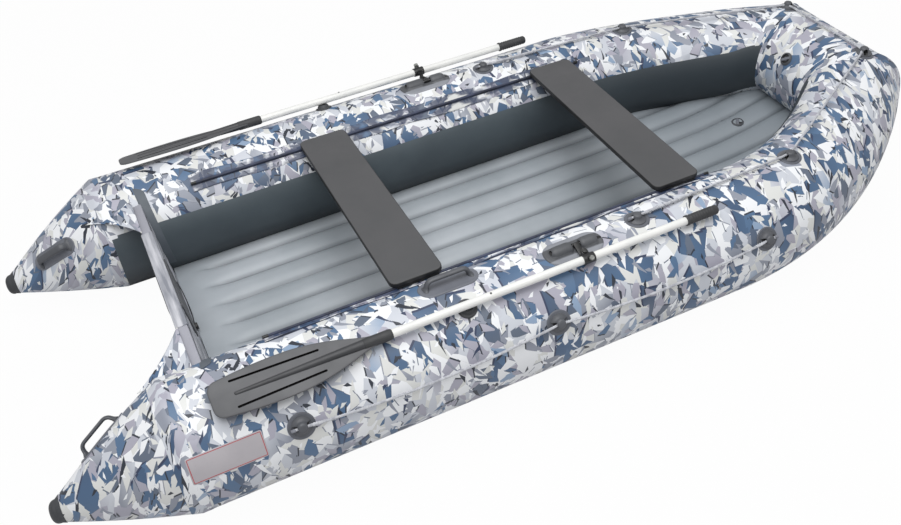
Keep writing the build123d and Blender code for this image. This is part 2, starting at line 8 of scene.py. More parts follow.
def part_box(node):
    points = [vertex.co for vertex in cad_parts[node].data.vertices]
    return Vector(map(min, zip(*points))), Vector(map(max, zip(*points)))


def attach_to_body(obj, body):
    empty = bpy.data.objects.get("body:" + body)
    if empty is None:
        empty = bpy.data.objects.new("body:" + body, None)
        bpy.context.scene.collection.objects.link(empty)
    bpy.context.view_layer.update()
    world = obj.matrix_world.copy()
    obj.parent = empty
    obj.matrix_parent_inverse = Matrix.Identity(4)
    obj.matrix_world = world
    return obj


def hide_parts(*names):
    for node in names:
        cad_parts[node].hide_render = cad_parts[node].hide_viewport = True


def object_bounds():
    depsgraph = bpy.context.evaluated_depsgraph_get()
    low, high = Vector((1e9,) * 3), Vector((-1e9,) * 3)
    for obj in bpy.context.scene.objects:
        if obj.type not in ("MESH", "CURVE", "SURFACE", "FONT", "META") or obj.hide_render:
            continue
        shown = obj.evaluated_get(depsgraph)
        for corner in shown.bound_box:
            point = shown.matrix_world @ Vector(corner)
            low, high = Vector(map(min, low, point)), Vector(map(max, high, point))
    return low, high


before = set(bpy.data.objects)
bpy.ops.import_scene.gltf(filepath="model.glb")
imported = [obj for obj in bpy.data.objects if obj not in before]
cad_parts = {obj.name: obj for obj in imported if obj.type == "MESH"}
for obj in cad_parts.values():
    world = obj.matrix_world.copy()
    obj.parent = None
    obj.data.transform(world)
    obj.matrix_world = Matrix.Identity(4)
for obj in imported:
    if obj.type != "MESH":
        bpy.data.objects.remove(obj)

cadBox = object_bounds()
print("frame loaded")


# a material is one tree of nodes, and each helper adds a few nodes to it
def newMaterial(name, roughness=0.5, **settings):
    material = bpy.data.materials.new(name)
    material.use_nodes = True
    tree = material.node_tree
    shader = tree.nodes["Principled BSDF"]
    shader.inputs["Roughness"].default_value = roughness
    for socket, value in settings.items():
        shader.inputs[socket].default_value = value
    return material, tree, shader


def plug(tree, value, socket):
    if isinstance(value, bpy.types.NodeSocket):
        tree.links.new(value, socket)
    elif value is not None:
        socket.default_value = value


def calc(tree, operation, a, b=None, c=None, clamp=False):
    node = tree.nodes.new("ShaderNodeMath")
    node.operation = operation
    node.use_clamp = clamp
    for value, socket in zip((a, b, c), node.inputs):
        plug(tree, value, socket)
    return node.outputs[0]


def vectorCalc(tree, operation, a, b=None, c=None):
    node = tree.nodes.new("ShaderNodeVectorMath")
    node.operation = operation
    for value, socket in zip((a, b, c), node.inputs):
        plug(tree, value, socket)
    return node.outputs[0]


def mixColour(tree, factor, below, above):
    node = tree.nodes.new("ShaderNodeMix")
    node.data_type = "RGBA"
    plug(tree, factor, node.inputs["Factor"])
    plug(tree, below, node.inputs[6])
    plug(tree, above, node.inputs[7])
    return node.outputs[2]


def colourSteps(tree, factor, steps):
    node = tree.nodes.new("ShaderNodeValToRGB")
    ramp = node.color_ramp
    ramp.interpolation = "CONSTANT"
    while len(ramp.elements) < len(steps):
        ramp.elements.new(1.0)
    for element, (place, colour) in zip(ramp.elements, steps):
        element.position = place
        element.color = colour
    plug(tree, factor, node.inputs[0])
    return node.outputs[0]


def spread(tree, value, low, high, toLow=0.0, toHigh=1.0):
    node = tree.nodes.new("ShaderNodeMapRange")
    node.clamp = True
    plug(tree, value, node.inputs["Value"])
    for socket, amount in zip(node.inputs[1:5], (low, high, toLow, toHigh)):
        socket.default_value = amount
    return node.outputs[0]


def splitVector(tree, vector):
    node = tree.nodes.new("ShaderNodeSeparateXYZ")
    plug(tree, vector, node.inputs[0])
    return node.outputs


def surfaceCoords(tree, flat=False):
    # flat pieces carry a map in metres, the others use their place in the object
    node = tree.nodes.new("ShaderNodeTexCoord")
    return node.outputs["UV" if flat else "Object"]


def cloud(tree, coords, scale, detail=3.0):
    node = tree.nodes.new("ShaderNodeTexNoise")
    node.inputs["Scale"].default_value = scale
    node.inputs["Detail"].default_value = detail
    plug(tree, coords, node.inputs["Vector"])
    return node.outputs["Fac"]


def cells(tree, coords, scale=1.0):
    node = tree.nodes.new("ShaderNodeTexVoronoi")
    node.voronoi_dimensions = "2D"
    node.inputs["Scale"].default_value = scale
    plug(tree, coords, node.inputs["Vector"])
    return node.outputs


def bump(tree, shader, height, strength, distance):
    node = tree.nodes.new("ShaderNodeBump")
    node.inputs["Strength"].default_value = strength
    node.inputs["Distance"].default_value = distance
    plug(tree, height, node.inputs["Height"])
    tree.links.new(node.outputs[0], shader.inputs["Normal"])


def srgb(red, green, blue):
    # written as a designer reads it, 0 to 255
    def linear(value):
        value = value / 255
        return value / 12.92 if value <= 0.04045 else ((value + 0.055) / 1.055) ** 2.4
    return (linear(red), linear(green), linear(blue), 1)


def plainFinish(name, look):
    # two near colours in soft patches, uneven gloss and a fine moulded or woven grain
    rough = look["rough"]
    material, tree, shader = newMaterial(name, rough, **look.get("shader", {}))
    coords = surfaceCoords(tree)
    if look.get("stretch"):
        coords = vectorCalc(tree, "MULTIPLY", coords, look["stretch"])
    patches = spread(tree, cloud(tree, coords, look["patch"], 4.0), 0.35, 0.65)
    colour = mixColour(tree, patches, srgb(*look["colour"]), srgb(*look["other"]))
    specks = spread(tree, cloud(tree, coords, look["patch"] * 14, 2.0), 0.6, 0.75)
    specks = calc(tree, "MULTIPLY", specks, look.get("speck", 0.25))
    colour = mixColour(tree, specks, colour, srgb(*look["other"]))
    plug(tree, colour, shader.inputs["Base Color"])
    uneven = cloud(tree, coords, look["patch"] * 3, 3.0)
    plug(tree, spread(tree, uneven, 0.3, 0.7, rough - 0.06, rough + 0.08), shader.inputs["Roughness"])
    bump(tree, shader, cloud(tree, coords, look["grain"], 2.0), 0.25, look["depth"])
    return material


finishes = {
    # painted shade: dark navy for the rails' bead and flap edges, standing in for the shadow under the
    # flap
    "railPaintedShade": {"colour": (34, 38, 52), "other": (58, 66, 90), "patch": 12, "rough": 0.6, "grain": 700,
                 "depth": 0.0003},
    "tape": {"colour": (90, 97, 105), "other": (80, 87, 94), "patch": 9, "rough": 0.55, "grain": 700,
             "depth": 0.0004},
    "boardPaint": {"colour": (158, 159, 168), "other": (146, 147, 156), "patch": 6, "rough": 0.45,
                   "grain": 260, "depth": 0.0004, "stretch": (1, 0.25, 1)},
    "seatPaint": {"colour": (77, 77, 79), "other": (70, 71, 73), "patch": 3.5, "rough": 0.55,
                  "grain": 350, "depth": 0.0003},
    "blackEdge": {"colour": (26, 26, 27), "other": (36, 36, 37), "patch": 12, "rough": 0.5, "grain": 420,
                  "depth": 0.0003},
    "trimCloth": {"colour": (196, 197, 203), "other": (128, 131, 140), "patch": 7, "rough": 0.45,
                  "grain": 500, "depth": 0.0003, "stretch": (8, 0.7, 8)},
    "bladePlastic": {"colour": (82, 83, 86), "other": (73, 74, 77), "patch": 5, "rough": 0.5,
                     "grain": 900, "depth": 0.0003},
    "ribPlastic": {"colour": (58, 59, 62), "other": (51, 52, 55), "patch": 6, "rough": 0.48,
                   "grain": 900, "depth": 0.0003},
    "padPlastic": {"colour": (92, 94, 98), "other": (84, 86, 90), "patch": 7, "rough": 0.5, "grain": 700,
                   "depth": 0.0003},
    "blackPlastic": {"colour": (26, 27, 28), "other": (34, 35, 36), "patch": 16, "rough": 0.38,
                     "grain": 900, "depth": 0.0002},
    # painted shade: the black floor left in the blade's slots
    "slotShade": {"colour": (5, 5, 6), "other": (9, 9, 10), "patch": 16, "rough": 0.9, "grain": 900,
                 "depth": 0.0002, "shader": {"Specular IOR Level": 0.1}},
    "gripRubber": {"colour": (46, 47, 49), "other": (56, 57, 59), "patch": 14, "rough": 0.6,
                   "grain": 1100, "depth": 0.0004},
    "greyRubber": {"colour": (108, 111, 119), "other": (98, 101, 109), "patch": 10, "rough": 0.48,
                   "grain": 800, "depth": 0.0003},
    "midRubber": {"colour": (84, 86, 91), "other": (74, 76, 81), "patch": 12, "rough": 0.46,
                  "grain": 800, "depth": 0.0003},
    "eyeletRubber": {"colour": (96, 99, 107), "other": (85, 88, 95), "patch": 12, "rough": 0.46,
                     "grain": 800, "depth": 0.0003},
    "darkRubber": {"colour": (62, 64, 68), "other": (50, 52, 55), "patch": 12, "rough": 0.55,
                   "grain": 800, "depth": 0.0004},
    "shaftPaint": {"colour": (226, 226, 223), "other": (216, 217, 215), "patch": 9, "rough": 0.34,
                   "grain": 1200, "depth": 0.0001},
    "steel": {"colour": (176, 177, 178), "other": (150, 151, 153), "patch": 30, "rough": 0.3,
              "grain": 900, "depth": 0.0001, "shader": {"Metallic": 1.0}},
    "ropeFibre": {"colour": (196, 198, 203), "other": (160, 162, 169), "patch": 60, "rough": 0.8,
                  "grain": 1500, "depth": 0.0005, "speck": 0.5},
    "ropeShade": {"colour": (134, 136, 144), "other": (104, 106, 114), "patch": 60, "rough": 0.8,
                  "grain": 1500, "depth": 0.0005, "speck": 0.5},
    "smokyPlastic": {"colour": (176, 178, 174), "other": (140, 142, 138), "patch": 40, "rough": 0.22,
                     "grain": 500, "depth": 0.0001, "shader": {"Transmission Weight": 0.35}},
    "redLine": {"colour": (178, 84, 88), "other": (160, 72, 78), "patch": 30, "rough": 0.5, "grain": 600,
                "depth": 0.0001},
    "plateGrey": {"colour": (176, 172, 176), "other": (162, 158, 163), "patch": 6, "rough": 0.4,
                  "grain": 600, "depth": 0.0002},
}
inks = {name: plainFinish(name, look) for name, look in finishes.items()}


camoColours = {
    "white": srgb(226, 228, 231), "cream": srgb(209, 210, 208), "paleGrey": srgb(192, 196, 204),
    "lilac": srgb(161, 160, 173), "ashGrey": srgb(137, 142, 154), "skyBlue": srgb(136, 156, 181),
    "steelBlue": srgb(80, 107, 138), "deepBlue": srgb(61, 83, 112), "slate": srgb(93, 103, 119),
    "navy": srgb(50, 60, 86), "charcoal": srgb(42, 47, 58),
}


footSlant = 0.8


def shardShape(tree, x, y, size, shard):
    # below zero inside a pointed, slightly bent shard with a slanted foot
    bent = calc(tree, "MULTIPLY_ADD", calc(tree, "ABSOLUTE", y), shard["bend"], x)
    flank = calc(tree, "MULTIPLY_ADD", calc(tree, "ABSOLUTE", bent), shard["slender"], y)
    tip = calc(tree, "SUBTRACT", flank, size)
    slope = calc(tree, "MULTIPLY_ADD", x, footSlant, shard["foot"])
    base = calc(tree, "SUBTRACT", calc(tree, "MULTIPLY", y, -1.0), slope)
    return calc(tree, "MAXIMUM", tip, base)


def shardLayer(tree, coords, below, shard):
    # each cell of the layer may hold one pointed shard, turned and sized at random
    placed = vectorCalc(tree, "MULTIPLY_ADD", coords, shard["scale"], shard["offset"])
    cell = cells(tree, placed)
    local = vectorCalc(tree, "SUBTRACT", placed, cell["Position"])
    chance = tree.nodes.new("ShaderNodeSeparateColor")
    plug(tree, cell["Color"], chance.inputs[0])
    red, green, blue = chance.outputs
    turned = tree.nodes.new("ShaderNodeVectorRotate")
    turned.rotation_type = "Z_AXIS"
    plug(tree, local, turned.inputs["Vector"])
    plug(tree, calc(tree, "MULTIPLY_ADD", red, shard["spread"], shard["turn"]), turned.inputs["Angle"])
    x, y = splitVector(tree, turned.outputs[0])[:2]
    size = calc(tree, "MULTIPLY_ADD", green, shard["length"] * 0.7, shard["length"] * 0.6)
    present = calc(tree, "LESS_THAN", blue, shard["share"])
    if shard.get("shadow"):
        # a dark sliver shows along one side of the shard
        away = calc(tree, "ADD", x, shard["shadow"])
        lower = calc(tree, "ADD", y, -shard["shadow"] * 1.5)
        behind = calc(tree, "LESS_THAN", shardShape(tree, away, lower, size, shard), 0.0)
        behind = calc(tree, "MULTIPLY", behind, present)
        below = mixColour(tree, behind, below, camoColours[shard["dark"]])
    inside = calc(tree, "LESS_THAN", shardShape(tree, x, y, size, shard), 0.0)
    pick = calc(tree, "FRACT", calc(tree, "MULTIPLY", green, 7.3))
    colour = colourSteps(tree, pick, [(place, camoColours[name]) for place, name in shard["colours"]])
    if shard.get("fade"):
        fade = calc(tree, "MULTIPLY_ADD", y, shard["fade"], 0.5, clamp=True)
        colour = mixColour(tree, fade, colour, camoColours[shard["fadeTo"]])
    return mixColour(tree, calc(tree, "MULTIPLY", inside, present), below, colour)


# each layer of shards: cells in a metre, their turn and bend, how long and slender, how many, and colours
camoLayers = [
    {"scale": (9.77, 8, 1), "offset": (3.1, 7.7, 0), "spread": 6.28, "turn": 0.0, "bend": 0.15,
     "length": 0.5, "slender": 1.5, "foot": 0.26, "share": 0.85, "fade": 1.2, "fadeTo": "paleGrey",
     "colours": [(0.0, "lilac"), (0.35, "ashGrey"), (0.6, "paleGrey"), (0.85, "skyBlue")]},
    {"scale": (9.11, 7.07, 1), "offset": (11.3, 2.9, 0), "spread": 1.9, "turn": 2.2, "bend": -0.35,
     "length": 0.52, "slender": 1.7, "foot": 0.3, "share": 0.62, "shadow": 0.035, "dark": "navy",
     "fade": 0.9, "fadeTo": "deepBlue",
     "colours": [(0.0, "steelBlue"), (0.55, "slate"), (0.7, "steelBlue")]},
    {"scale": (11.3, 8.93, 1), "offset": (23.7, 13.1, 0), "spread": 2.2, "turn": -1.0, "bend": 0.3,
     "length": 0.5, "slender": 2.1, "foot": 0.24, "share": 0.6, "shadow": 0.04, "dark": "charcoal",
     "colours": [(0.0, "steelBlue"), (0.25, "slate"), (0.5, "ashGrey"), (0.7, "lilac"),
                 (0.86, "deepBlue")]},
    {"scale": (12.5, 9.67, 1), "offset": (5.9, 31.7, 0), "spread": 6.28, "turn": 0.4, "bend": 0.2,
     "length": 0.5, "slender": 1.9, "foot": 0.2, "share": 0.68, "shadow": 0.03, "dark": "ashGrey",
     "colours": [(0.0, "white"), (0.45, "cream"), (0.75, "paleGrey")]},
    {"scale": (15.3, 12.6, 1), "offset": (41.3, 17.9, 0), "spread": 6.28, "turn": 1.1, "bend": 0.2,
     "length": 0.45, "slender": 1.7, "foot": 0.22, "share": 0.5, "shadow": 0.05, "dark": "charcoal",
     "colours": [(0.0, "lilac"), (0.3, "ashGrey"), (0.55, "slate"), (0.75, "steelBlue"),
                 (0.88, "skyBlue")]},
    {"scale": (14, 8.74, 1), "offset": (17.1, 43.3, 0), "spread": 2.4, "turn": -1.2, "bend": 0.1,
     "length": 0.5, "slender": 8.5, "foot": 0.3, "share": 0.62,
     "colours": [(0.0, "charcoal"), (0.3, "navy"), (0.5, "ashGrey"), (0.72, "white")]},
    {"scale": (18.6, 14.4, 1), "offset": (61.1, 9.3, 0), "spread": 6.28, "turn": 1.9, "bend": 0.25,
     "length": 0.5, "slender": 2.6, "foot": 0.18, "share": 0.6, "shadow": 0.045, "dark": "slate",
     "colours": [(0.0, "white"), (0.45, "cream"), (0.7, "steelBlue"), (0.82, "lilac")]},
    {"scale": (25.1, 20.5, 1), "offset": (29.9, 3.3, 0), "spread": 6.28, "turn": 0.0, "bend": 0.2,
     "length": 0.4, "slender": 2.6, "foot": 0.12, "share": 0.4,
     "colours": [(0.0, "charcoal"), (0.22, "white"), (0.55, "steelBlue"), (0.7, "ashGrey"),
                 (0.85, "cream")]},
]


camoGround = {
    "warpCells": 9.0, "warp": 0.012, "cells": (21.0, 16.0, 1.0),
    "colours": [(0.0, "white"), (0.26, "cream"), (0.5, "paleGrey"), (0.72, "lilac"), (0.84, "ashGrey"),
                (0.92, "white")],
}


def camoPaint(tree, coords):
    # pale cells as the ground, pushed about a little, with the layers of shards over them
    g = camoGround
    coarse = cells(tree, coords, g["warpCells"])
    shift = vectorCalc(tree, "SUBTRACT", coarse["Color"], (0.5, 0.5, 0.5))
    coords = vectorCalc(tree, "MULTIPLY_ADD", shift, (g["warp"], g["warp"], 0.0), coords)
    ground = cells(tree, vectorCalc(tree, "MULTIPLY", coords, g["cells"]))
    pick = splitVector(tree, ground["Color"])[0]
    colour = colourSteps(tree, pick, [(place, camoColours[name]) for place, name in g["colours"]])
    for layer in camoLayers:
        colour = shardLayer(tree, coords, colour, layer)
    return colour


def makeCamoFabric(name, shade=0.0):
    # shade paints dark navy patches into the print, painted shade for the shadow along the curled rails
    material, tree, shader = newMaterial(name, 0.42)
    coords = surfaceCoords(tree, flat=True)
    colour = camoPaint(tree, coords)
    if shade:
        stretched = vectorCalc(tree, "MULTIPLY", coords, (1.0, 2.2, 1.0))
        shadePatches = spread(tree, cloud(tree, stretched, 13.0, 2.0), 0.43, 0.55, 0.08, shade)
        colour = mixColour(tree, shadePatches, colour, camoColours["navy"])
    plug(tree, colour, shader.inputs["Base Color"])
    weave = cloud(tree, coords, 900, 2.0)
    bump(tree, shader, weave, 0.08, 0.0004)
    return material


inks["camo"] = makeCamoFabric("printedFabric")
# the rails' camouflage carries the painted shade patches
inks["railCamo"] = makeCamoFabric("railFabricShaded", 0.9)
print("materials made")


# a shape collects points and faces in metres, and then becomes one piece
def newShape():
    return {"points": [], "faces": [], "maps": [], "inks": []}


def addGrid(shape, rows, ink=0, mapStart=(0.0, 0.0), maps=None):
    # rows of points joined to a surface; a closed row ends on its first point
    start = len(shape["points"])
    columns = len(rows[0])
    along = mapStart[0]
    for i, row in enumerate(rows):
        if i:
            along += max((row[k] - rows[i - 1][k]).length for k in (0, columns // 2))
        across = mapStart[1]
        for j, point in enumerate(row):
            if j:
                across += (point - row[j - 1]).length
            shape["points"].append(Vector(point))
            shape["maps"].append(maps[i][j] if maps else (along, across))
    for i in range(len(rows) - 1):
        for j in range(columns - 1):
            a = start + i * columns + j
            shape["faces"].append((a, a + 1, a + columns + 1, a + columns))
            shape["inks"].append(ink)


def addCap(shape, row, ink=0, flip=False):
    start = len(shape["points"])
    loop = row[:-1] if (row[0] - row[-1]).length < 1e-7 else row
    for point in loop:
        shape["points"].append(Vector(point))
        shape["maps"].append((point[0], point[1]))
    face = tuple(range(start, start + len(loop)))
    shape["faces"].append(tuple(reversed(face)) if flip else face)
    shape["inks"].append(ink)


def ring(outline, place, lift=0.0):
    return [place @ Vector((x, y, lift)) for x, y in [*outline, outline[0]]]


def circleOutline(radius, sides=32, flutes=0, fluteDepth=0.0):
    points = []
    for i in range(sides):
        turn = 2 * math.pi * i / sides
        reach = radius - (fluteDepth * (0.5 + 0.5 * math.cos(flutes * turn)) if flutes else 0.0)
        points.append((reach * math.cos(turn), reach * math.sin(turn)))
    return points


def roundedOutline(length, width, corner, steps=8):
    points = []
    for sx, sy, start in ((1, 1, 0), (-1, 1, 90), (-1, -1, 180), (1, -1, 270)):
        for i in range(steps + 1):
            turn = math.radians(start + 90 * i / steps)
            x = sx * (length / 2 - corner) + corner * math.cos(turn)
            y = sy * (width / 2 - corner) + corner * math.sin(turn)
            points.append((x, y))
    return points


def shrink(outline, amount):
    # the outline moved inwards by this much, corner by corner
    count = len(outline)
    moved = []
    for i in range(count):
        before, here, after = (Vector(outline[(i + k) % count]) for k in (-1, 0, 1))
        along = (after - before).normalized()
        moved.append((here.x - along.y * amount, here.y + along.x * amount))
    return moved


def addPlate(shape, outline, place, low, high, edge, ink=0, sideInk=None):
    # solid plate from low to high along the place's Z axis, its rims rounded by edge
    sideInk = ink if sideInk is None else sideInk
    rows = []
    for share in (0, 0.3, 0.65, 1):
        turn = math.radians(90 * share)
        inset, lift = edge * (1 - math.sin(turn)), edge * (1 - math.cos(turn))
        rows.append(ring(shrink(outline, inset), place, low + lift))
    for share in (0, 0.35, 0.7, 1):
        turn = math.radians(90 * share)
        inset, drop = edge * (1 - math.cos(turn)), edge * (1 - math.sin(turn))
        rows.append(ring(shrink(outline, inset), place, high - drop))
    addGrid(shape, rows, sideInk)
    addCap(shape, rows[0], sideInk, flip=True)
    addCap(shape, rows[-1], ink)


def addLathe(shape, profile, place, ink=0, sides=32, flutes=0, fluteDepth=0.0):
    # profile is (radius, height) from the bottom to the top
    rows = []
    for radius, height in profile:
        outline = circleOutline(max(radius, 1e-6), sides, flutes, fluteDepth if radius > 0.004 else 0.0)
        rows.append(ring(outline, place, height))
    addGrid(shape, rows, ink)
    if profile[0][0] > 0:
        addCap(shape, rows[0], ink, flip=True)
    if profile[-1][0] > 0:
        addCap(shape, rows[-1], ink)


def pathFrames(path, firstSide=None):
    # one frame a point, carried along the path without twisting
    frames = []
    side = Vector(firstSide) if firstSide else None
    for i, here in enumerate(path):
        ahead = path[min(i + 1, len(path) - 1)]
        behind = path[max(i - 1, 0)]
        along = (ahead - behind).normalized()
        if side is None:
            side = along.orthogonal()
        side = (side - along * side.dot(along)).normalized()
        frames.append((here, side, along.cross(side)))
    return frames


def addRod(shape, path, sizes, ink=0, sides=16, firstSide=None):
    # sizes has one (across, over) pair a point
    rows = []
    for (here, side, other), (across, over) in zip(pathFrames(path, firstSide), sizes):
        row = []
        for k in range(sides + 1):
            turn = 2 * math.pi * (k % sides) / sides
            row.append(here + side * across * math.cos(turn) + other * over * math.sin(turn))
        rows.append(row)
    addGrid(shape, rows, ink)
    addCap(shape, rows[0], ink, flip=True)
    addCap(shape, rows[-1], ink)


def smoothPath(corners, rounding, step=0.004):
    # straight runs joined by round bends
    points = [Vector(corners[0])]
    for before, here, after in zip(corners, corners[1:], corners[2:]):
        here = Vector(here)
        back, ahead = Vector(before) - here, Vector(after) - here
        reach = min(rounding, back.length / 2.05, ahead.length / 2.05)
        start = here + back.normalized() * reach
        end = here + ahead.normalized() * reach
        for i in range(9):
            t = i / 8
            points.append(start * (1 - t) ** 2 + here * 2 * t * (1 - t) + end * t * t)
    points.append(Vector(corners[-1]))
    even = [points[0]]
    for a, b in zip(points, points[1:]):
        count = max(1, round((b - a).length / step))
        even += [a.lerp(b, (i + 1) / count) for i in range(count)]
    return even


def addRope(shape, path, radius, pitch, thick, sides=6):
    # three strands laid round each other; thick gives the rope's size along its length
    frames = pathFrames(path)
    distance = 0.0
    rows = [[], [], []]
    for i, (here, side, other) in enumerate(frames):
        if i:
            distance += (here - frames[i - 1][0]).length
        size = radius * thick(distance)
        for strand in range(3):
            turn = 2 * math.pi * (distance / pitch + strand / 3)
            middle = here + (side * math.cos(turn) + other * math.sin(turn)) * size * 0.5
            row = []
            for k in range(sides + 1):
                around = 2 * math.pi * (k % sides) / sides
                row.append(middle + (side * math.cos(around) + other * math.sin(around)) * size * 0.56)
            rows[strand].append(row)
    for strand in rows:
        addGrid(shape, strand)
        addCap(shape, strand[0], flip=True)
        addCap(shape, strand[-1])


def addCopy(shape, data, place):
    start = len(shape["points"])
    for vertex in data.vertices:
        point = place @ vertex.co
        shape["points"].append(point)
        shape["maps"].append((point.x, point.y))
    for polygon in data.polygons:
        shape["faces"].append(tuple(start + v for v in polygon.vertices))
        shape["inks"].append(polygon.material_index)


def mirrorInto(shape, source):
    # the same shape again on the other side of the boat
    start = len(shape["points"])
    shape["points"] += [Vector((p.x, -p.y, p.z)) for p in source["points"]]
    shape["maps"] += source["maps"]
    shape["faces"] += [tuple(start + v for v in reversed(face)) for face in source["faces"]]
    shape["inks"] += source["inks"]
    return shape


def bothSides(source):
    shape = newShape()
    for key in shape:
        shape[key] = list(source[key])
    return mirrorInto(shape, source)


def attach(piece, body, replaces):
    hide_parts(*replaces)
    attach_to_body(piece, body)


def soften(piece, width, sharp):
    softer = piece.modifiers.new("soften", "BEVEL")
    softer.width = width
    softer.segments = 2
    softer.limit_method = "ANGLE"
    softer.angle_limit = math.radians(sharp)


def makePiece(name, shape, materials, body="hull", replaces=(), sharp=35, bevel=0.0,
              outward=True):
    # without a body the mesh stays loose, to be cut, copied or used as a cutter
    data = bpy.data.meshes.new(name)
    data.from_pydata([tuple(p) for p in shape["points"]], [], shape["faces"])
    layer = data.uv_layers.new(name="surface")
    for loop in data.loops:
        layer.data[loop.index].uv = shape["maps"][loop.vertex_index]
    for polygon, ink in zip(data.polygons, shape["inks"]):
        polygon.material_index = ink
        polygon.use_smooth = True
    work = bmesh.new()
    work.from_mesh(data)
    bmesh.ops.remove_doubles(work, verts=work.verts, dist=2e-6)
    if outward:
        bmesh.ops.recalc_face_normals(work, faces=work.faces)
    work.to_mesh(data)
    work.free()
    data.set_sharp_from_angle(angle=math.radians(sharp))
    for material in materials:
        data.materials.append(inks[material])
    piece = bpy.data.objects.new(name, data)
    bpy.context.scene.collection.objects.link(piece)
    if bevel:
        soften(piece, bevel, 40)
    if body:
        attach(piece, body, replaces)
    return piece


def carve(piece, cutter):
    # takes the cutter out of the piece for good
    cut = piece.modifiers.new("cut", "BOOLEAN")
    cut.operation = "DIFFERENCE"
    cut.solver = "EXACT"
    cut.object = cutter
    bpy.context.view_layer.update()
    ready = piece.evaluated_get(bpy.context.evaluated_depsgraph_get())
    data = bpy.data.meshes.new_from_object(ready)
    data.set_sharp_from_angle(angle=math.radians(30))
    piece.modifiers.clear()
    piece.data = data
    bpy.data.objects.remove(cutter)
    return data


def hardPart(node, material, body, bevel=0.0006):
    # a copy of the frame's own solid with its edges rounded and its finish on
    sharp = 35
    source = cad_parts[node]
    data = source.data.copy()
    data.transform(source.matrix_world)
    data.materials.clear()
    data.materials.append(inks[material])
    work = bmesh.new()
    work.from_mesh(data)
    bmesh.ops.remove_doubles(work, verts=work.verts, dist=2e-6)
    work.to_mesh(data)
    work.free()
    for polygon in data.polygons:
        polygon.use_smooth = True
        polygon.material_index = 0
    data.set_sharp_from_angle(angle=math.radians(sharp))
    piece = bpy.data.objects.new(node + ".finished", data)
    bpy.context.scene.collection.objects.link(piece)
    soften(piece, bevel, sharp)
    attach(piece, body, (node,))


def frameMatrix(origin, forward, outward):
    # x near forward and z along outward, with its origin here
    z = Vector(outward).normalized()
    x = Vector(forward)
    x = (x - z * x.dot(z)).normalized()
    y = z.cross(x)
    turn = Matrix((x, y, z)).transposed().to_4x4()
    return Matrix.Translation(Vector(origin)) @ turn


# the tube: its middle line, its size and where a point on it lies
sideLow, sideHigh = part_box("side_tube_port")
tube = {
    "radius": sideHigh.z / 2, "offset": sideHigh.y - sideHigh.z / 2, "bowStart": sideHigh.x,
    "tipX": sideLow.x, "coneStart": -1.358, "tipRadius": 0.036, "tipOffset": 0.576, "tipHeight": 0.135,
    "coneFullness": 0.19, "arcs": (1.242, 1.372), "turns": (math.radians(21.2), math.radians(43.2)),
    "noseRadius": 0.189, "sheerRise": 0.104, "sheerPower": 2.7,
}


def bowPlan(turn):
    first, second = tube["arcs"]
    split = tube["turns"][0]
    outer = min(turn, split)
    x = tube["bowStart"] + first * math.sin(outer)
    y = tube["offset"] - first * (1 - math.cos(outer))
    if turn > split:
        x += second * (math.sin(turn) - math.sin(split))
        y -= second * (math.cos(split) - math.cos(turn))
    return x, y


cornerX, cornerY = bowPlan(tube["turns"][1])
mitre = (tube["turns"][1] + math.pi / 2) / 2


def bowProfile(x):
    length = cornerX - tube["bowStart"]
    share = max(0.0, (x - tube["bowStart"]) / length)
    height = tube["radius"] + tube["sheerRise"] * share ** tube["sheerPower"]
    slope = tube["sheerRise"] * tube["sheerPower"] * share ** (tube["sheerPower"] - 1) / length
    radius = tube["radius"] + (tube["noseRadius"] - tube["radius"]) * share
    return height, slope, radius


def ease(value):
    value = min(1.0, max(0.0, value))
    return value * value * (3 - 2 * value)


def station(centre, radius, heading, section, slope=0.0):
    # a slice through the port tube; section is the way its plane faces, heading the tube's own way
    wide = radius / max(0.3, math.cos(section - heading))
    return {
        "centre": Vector(centre), "radius": radius, "heading": heading,
        "across": Vector((-math.sin(section), -math.cos(section), 0)) * wide,
        "up": Vector((0, 0, 1)) * radius * math.sqrt(1 + slope * slope),
    }


def stationAtHeading(turn):
    x, y = bowPlan(turn)
    z, slope, radius = bowProfile(x)
    slope *= math.cos(turn)
    toCorner = (tube["turns"][1] - turn) * tube["arcs"][1]
    section = mitre + (turn - mitre) * ease(toCorner / 0.26)
    return station((x, y, z), radius, turn, section, slope)


def stationAtNose(y):
    z, _, radius = bowProfile(cornerX)
    section = mitre + (math.pi / 2 - mitre) * ease((cornerY - y) / 0.16)
    return station((cornerX, y, z), radius, math.pi / 2, section)


def headingAt(x):
    first, second = tube["arcs"]
    turn = math.asin(min(1.0, (x - tube["bowStart"]) / first))
    if turn > tube["turns"][0]:
        split = tube["turns"][0]
        reach = math.sin(split) + (x - tube["bowStart"] - first * math.sin(split)) / second
        turn = math.asin(min(reach, math.sin(tube["turns"][1])))
    return turn


def stationAt(x):
    if x > tube["bowStart"]:
        return stationAtHeading(headingAt(x))
    share = max(0.0, (tube["coneStart"] - x) / (tube["coneStart"] - tube["tipX"]))
    taper = share + tube["coneFullness"] * share * (share - 1)
    radius = tube["radius"] + (tube["tipRadius"] - tube["radius"]) * taper
    y = tube["offset"] + (tube["tipOffset"] - tube["offset"]) * taper
    z = tube["radius"] + (tube["tipHeight"] - tube["radius"]) * taper
    return station((x, y, z), radius, 0.0, 0.0)


def onTube(place, angle, lift=0.0):
    # 0 is inboard, 90 on top, 180 outboard
    turn = math.radians(angle)
    flat = place["across"] * math.cos(turn) + place["up"] * math.sin(turn)
    return place["centre"] + flat * (1 + lift / place["radius"])


def tubeFrame(around, angle):
    # x along the skin and z out of it, from the slices just behind, at and just ahead of the place
    behind, here, ahead = around
    forward = onTube(ahead, angle) - onTube(behind, angle)
    across = onTube(here, angle + 2) - onTube(here, angle - 2)
    outward = forward.cross(across)
    if outward.dot(onTube(here, angle) - here["centre"]) < 0:
        outward = -outward
    return frameMatrix(onTube(here, angle), forward, outward)


def mirrored(point):
    return Vector((point[0], -point[1], point[2]))


def evenly(start, end, count):
    return [start + (end - start) * i / count for i in range(count + 1)]


